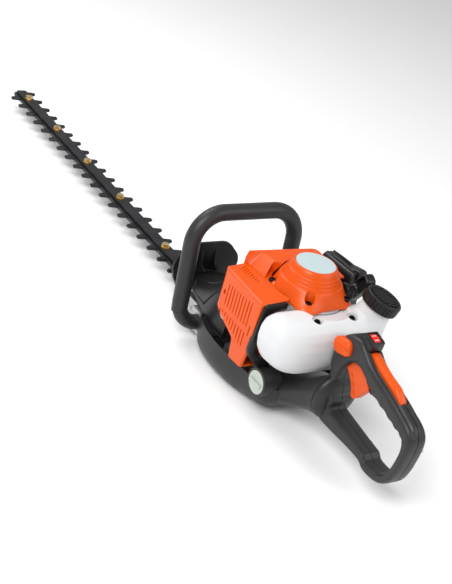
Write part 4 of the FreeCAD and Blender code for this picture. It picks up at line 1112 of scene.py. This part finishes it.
def cowl_ribs():
    """Curved ribs on the front cowl, on both sides of its middle ridge."""
    tree = BVHTree.FromObject(NODES["cowl"], bpy.context.evaluated_depsgraph_get())
    ribs = []
    for side in (1, -1):
        for near, far, bow in RIB_RUNS:
            places = []
            for step in range(RIB_STEPS + 1):
                share = step / RIB_STEPS
                x = 206 - 84 * share
                y = near + (far - near) * share + bow * math.sin(math.pi * share)
                places.append((x, side * y))
            points = drape(tree, places, 0.2)
            if len(points) > LEAST_POINTS:
                ribs.append(tube("cowl_ribs", points, 1.3, 12))
    ridge = drape(tree, [(212 - 6 * step, 0) for step in range(12)], 0.3)
    ribs.append(tube("cowl_ribs", ridge, 1.8, 16))
    finish(join(ribs[0], *ribs[1:]), "black_plastic", "machine", crease=60)


# ---------------------------------------------------------------- stage


CAMERA_PLACE = (-1.1067, 1.0205, 0.9485)
CAMERA_RIGHT = Vector((-0.4989, -0.8325, 0.2408))
CAMERA_UP = Vector((0.5302, -0.0734, 0.8447))
SENSOR = 36.0
LENS = 77.47
FLOOR_HALF = 4.0
FLOOR_DROP = 0.0004
WORLD_STRENGTH = 0.46
LIGHTS = [
    # name, place, aim, power in watts, size
    ("key", (-0.6, 1.3, 1.6), (0.0, 0.0, 0.1), 30.0, 1.0),
    ("fill", (-1.4, -1.0, 1.3), (0.0, 0.0, 0.1), 14.0, 1.4),
    ("far", (1.4, 0.4, 1.6), (0.4, 0.0, 0.0), 20.0, 1.2),
]


def camera():
    """The three-quarter view from behind, above and to the left."""
    data = bpy.data.cameras.new("camera")
    data.sensor_width = SENSOR
    data.lens = LENS
    item = bpy.data.objects.new("camera", data)
    turn = Matrix((CAMERA_RIGHT, CAMERA_UP, CAMERA_RIGHT.cross(CAMERA_UP))).transposed().to_4x4()
    item.matrix_world = Matrix.Translation(CAMERA_PLACE) @ turn
    bpy.context.scene.collection.objects.link(item)
    bpy.context.scene.camera = item


def area_light(name, place, aim, power, size):
    """A soft square light."""
    data = bpy.data.lights.new(name, "AREA")
    data.energy = power
    data.size = size
    item = bpy.data.objects.new(name, data)
    item.location = place
    item.rotation_euler = (Vector(aim) - Vector(place)).to_track_quat("-Z", "Y").to_euler()
    bpy.context.scene.collection.objects.link(item)


def floor():
    """A plain pale floor just under the machine."""
    mesh = bpy.data.meshes.new("floor")
    signs = ((-1, -1), (1, -1), (1, 1), (-1, 1))
    corners = [(x * FLOOR_HALF, y * FLOOR_HALF, -FLOOR_DROP) for x, y in signs]
    mesh.from_pydata(corners, [], [(0, 1, 2, 3)])
    item = bpy.data.objects.new("floor", mesh)
    bpy.context.scene.collection.objects.link(item)
    mesh.materials.append(shader("floor", (0.95, 0.95, 0.95), 0.9)[0])


def stage():
    """The floor, a bright even world and soft lights."""
    floor()
    world = bpy.data.worlds.new("world")
    world.use_nodes = True
    background = world.node_tree.nodes["Background"]
    background.inputs["Color"].default_value = (1.0, 1.0, 1.0, 1.0)
    background.inputs["Strength"].default_value = WORLD_STRENGTH
    bpy.context.scene.world = world
    bpy.context.scene.view_settings.view_transform = "Standard"
    for light in LIGHTS:
        area_light(*light)


def build():
    """Every replaced or added piece."""
    cylinder_cover()
    heat_frame()
    starter()
    cover_bolts()
    rope_guide()
    starter_grip()
    fuel_tank()
    fuel_cap()
    rear_handle()
    swivel_latch()
    trigger()
    trigger_stop()
    lock_bar()
    switch_box()
    stop_rocker()
    front_handle()
    filter_cover()
    cowl_ribs()


dress_cad()
build()
camera()
stage()
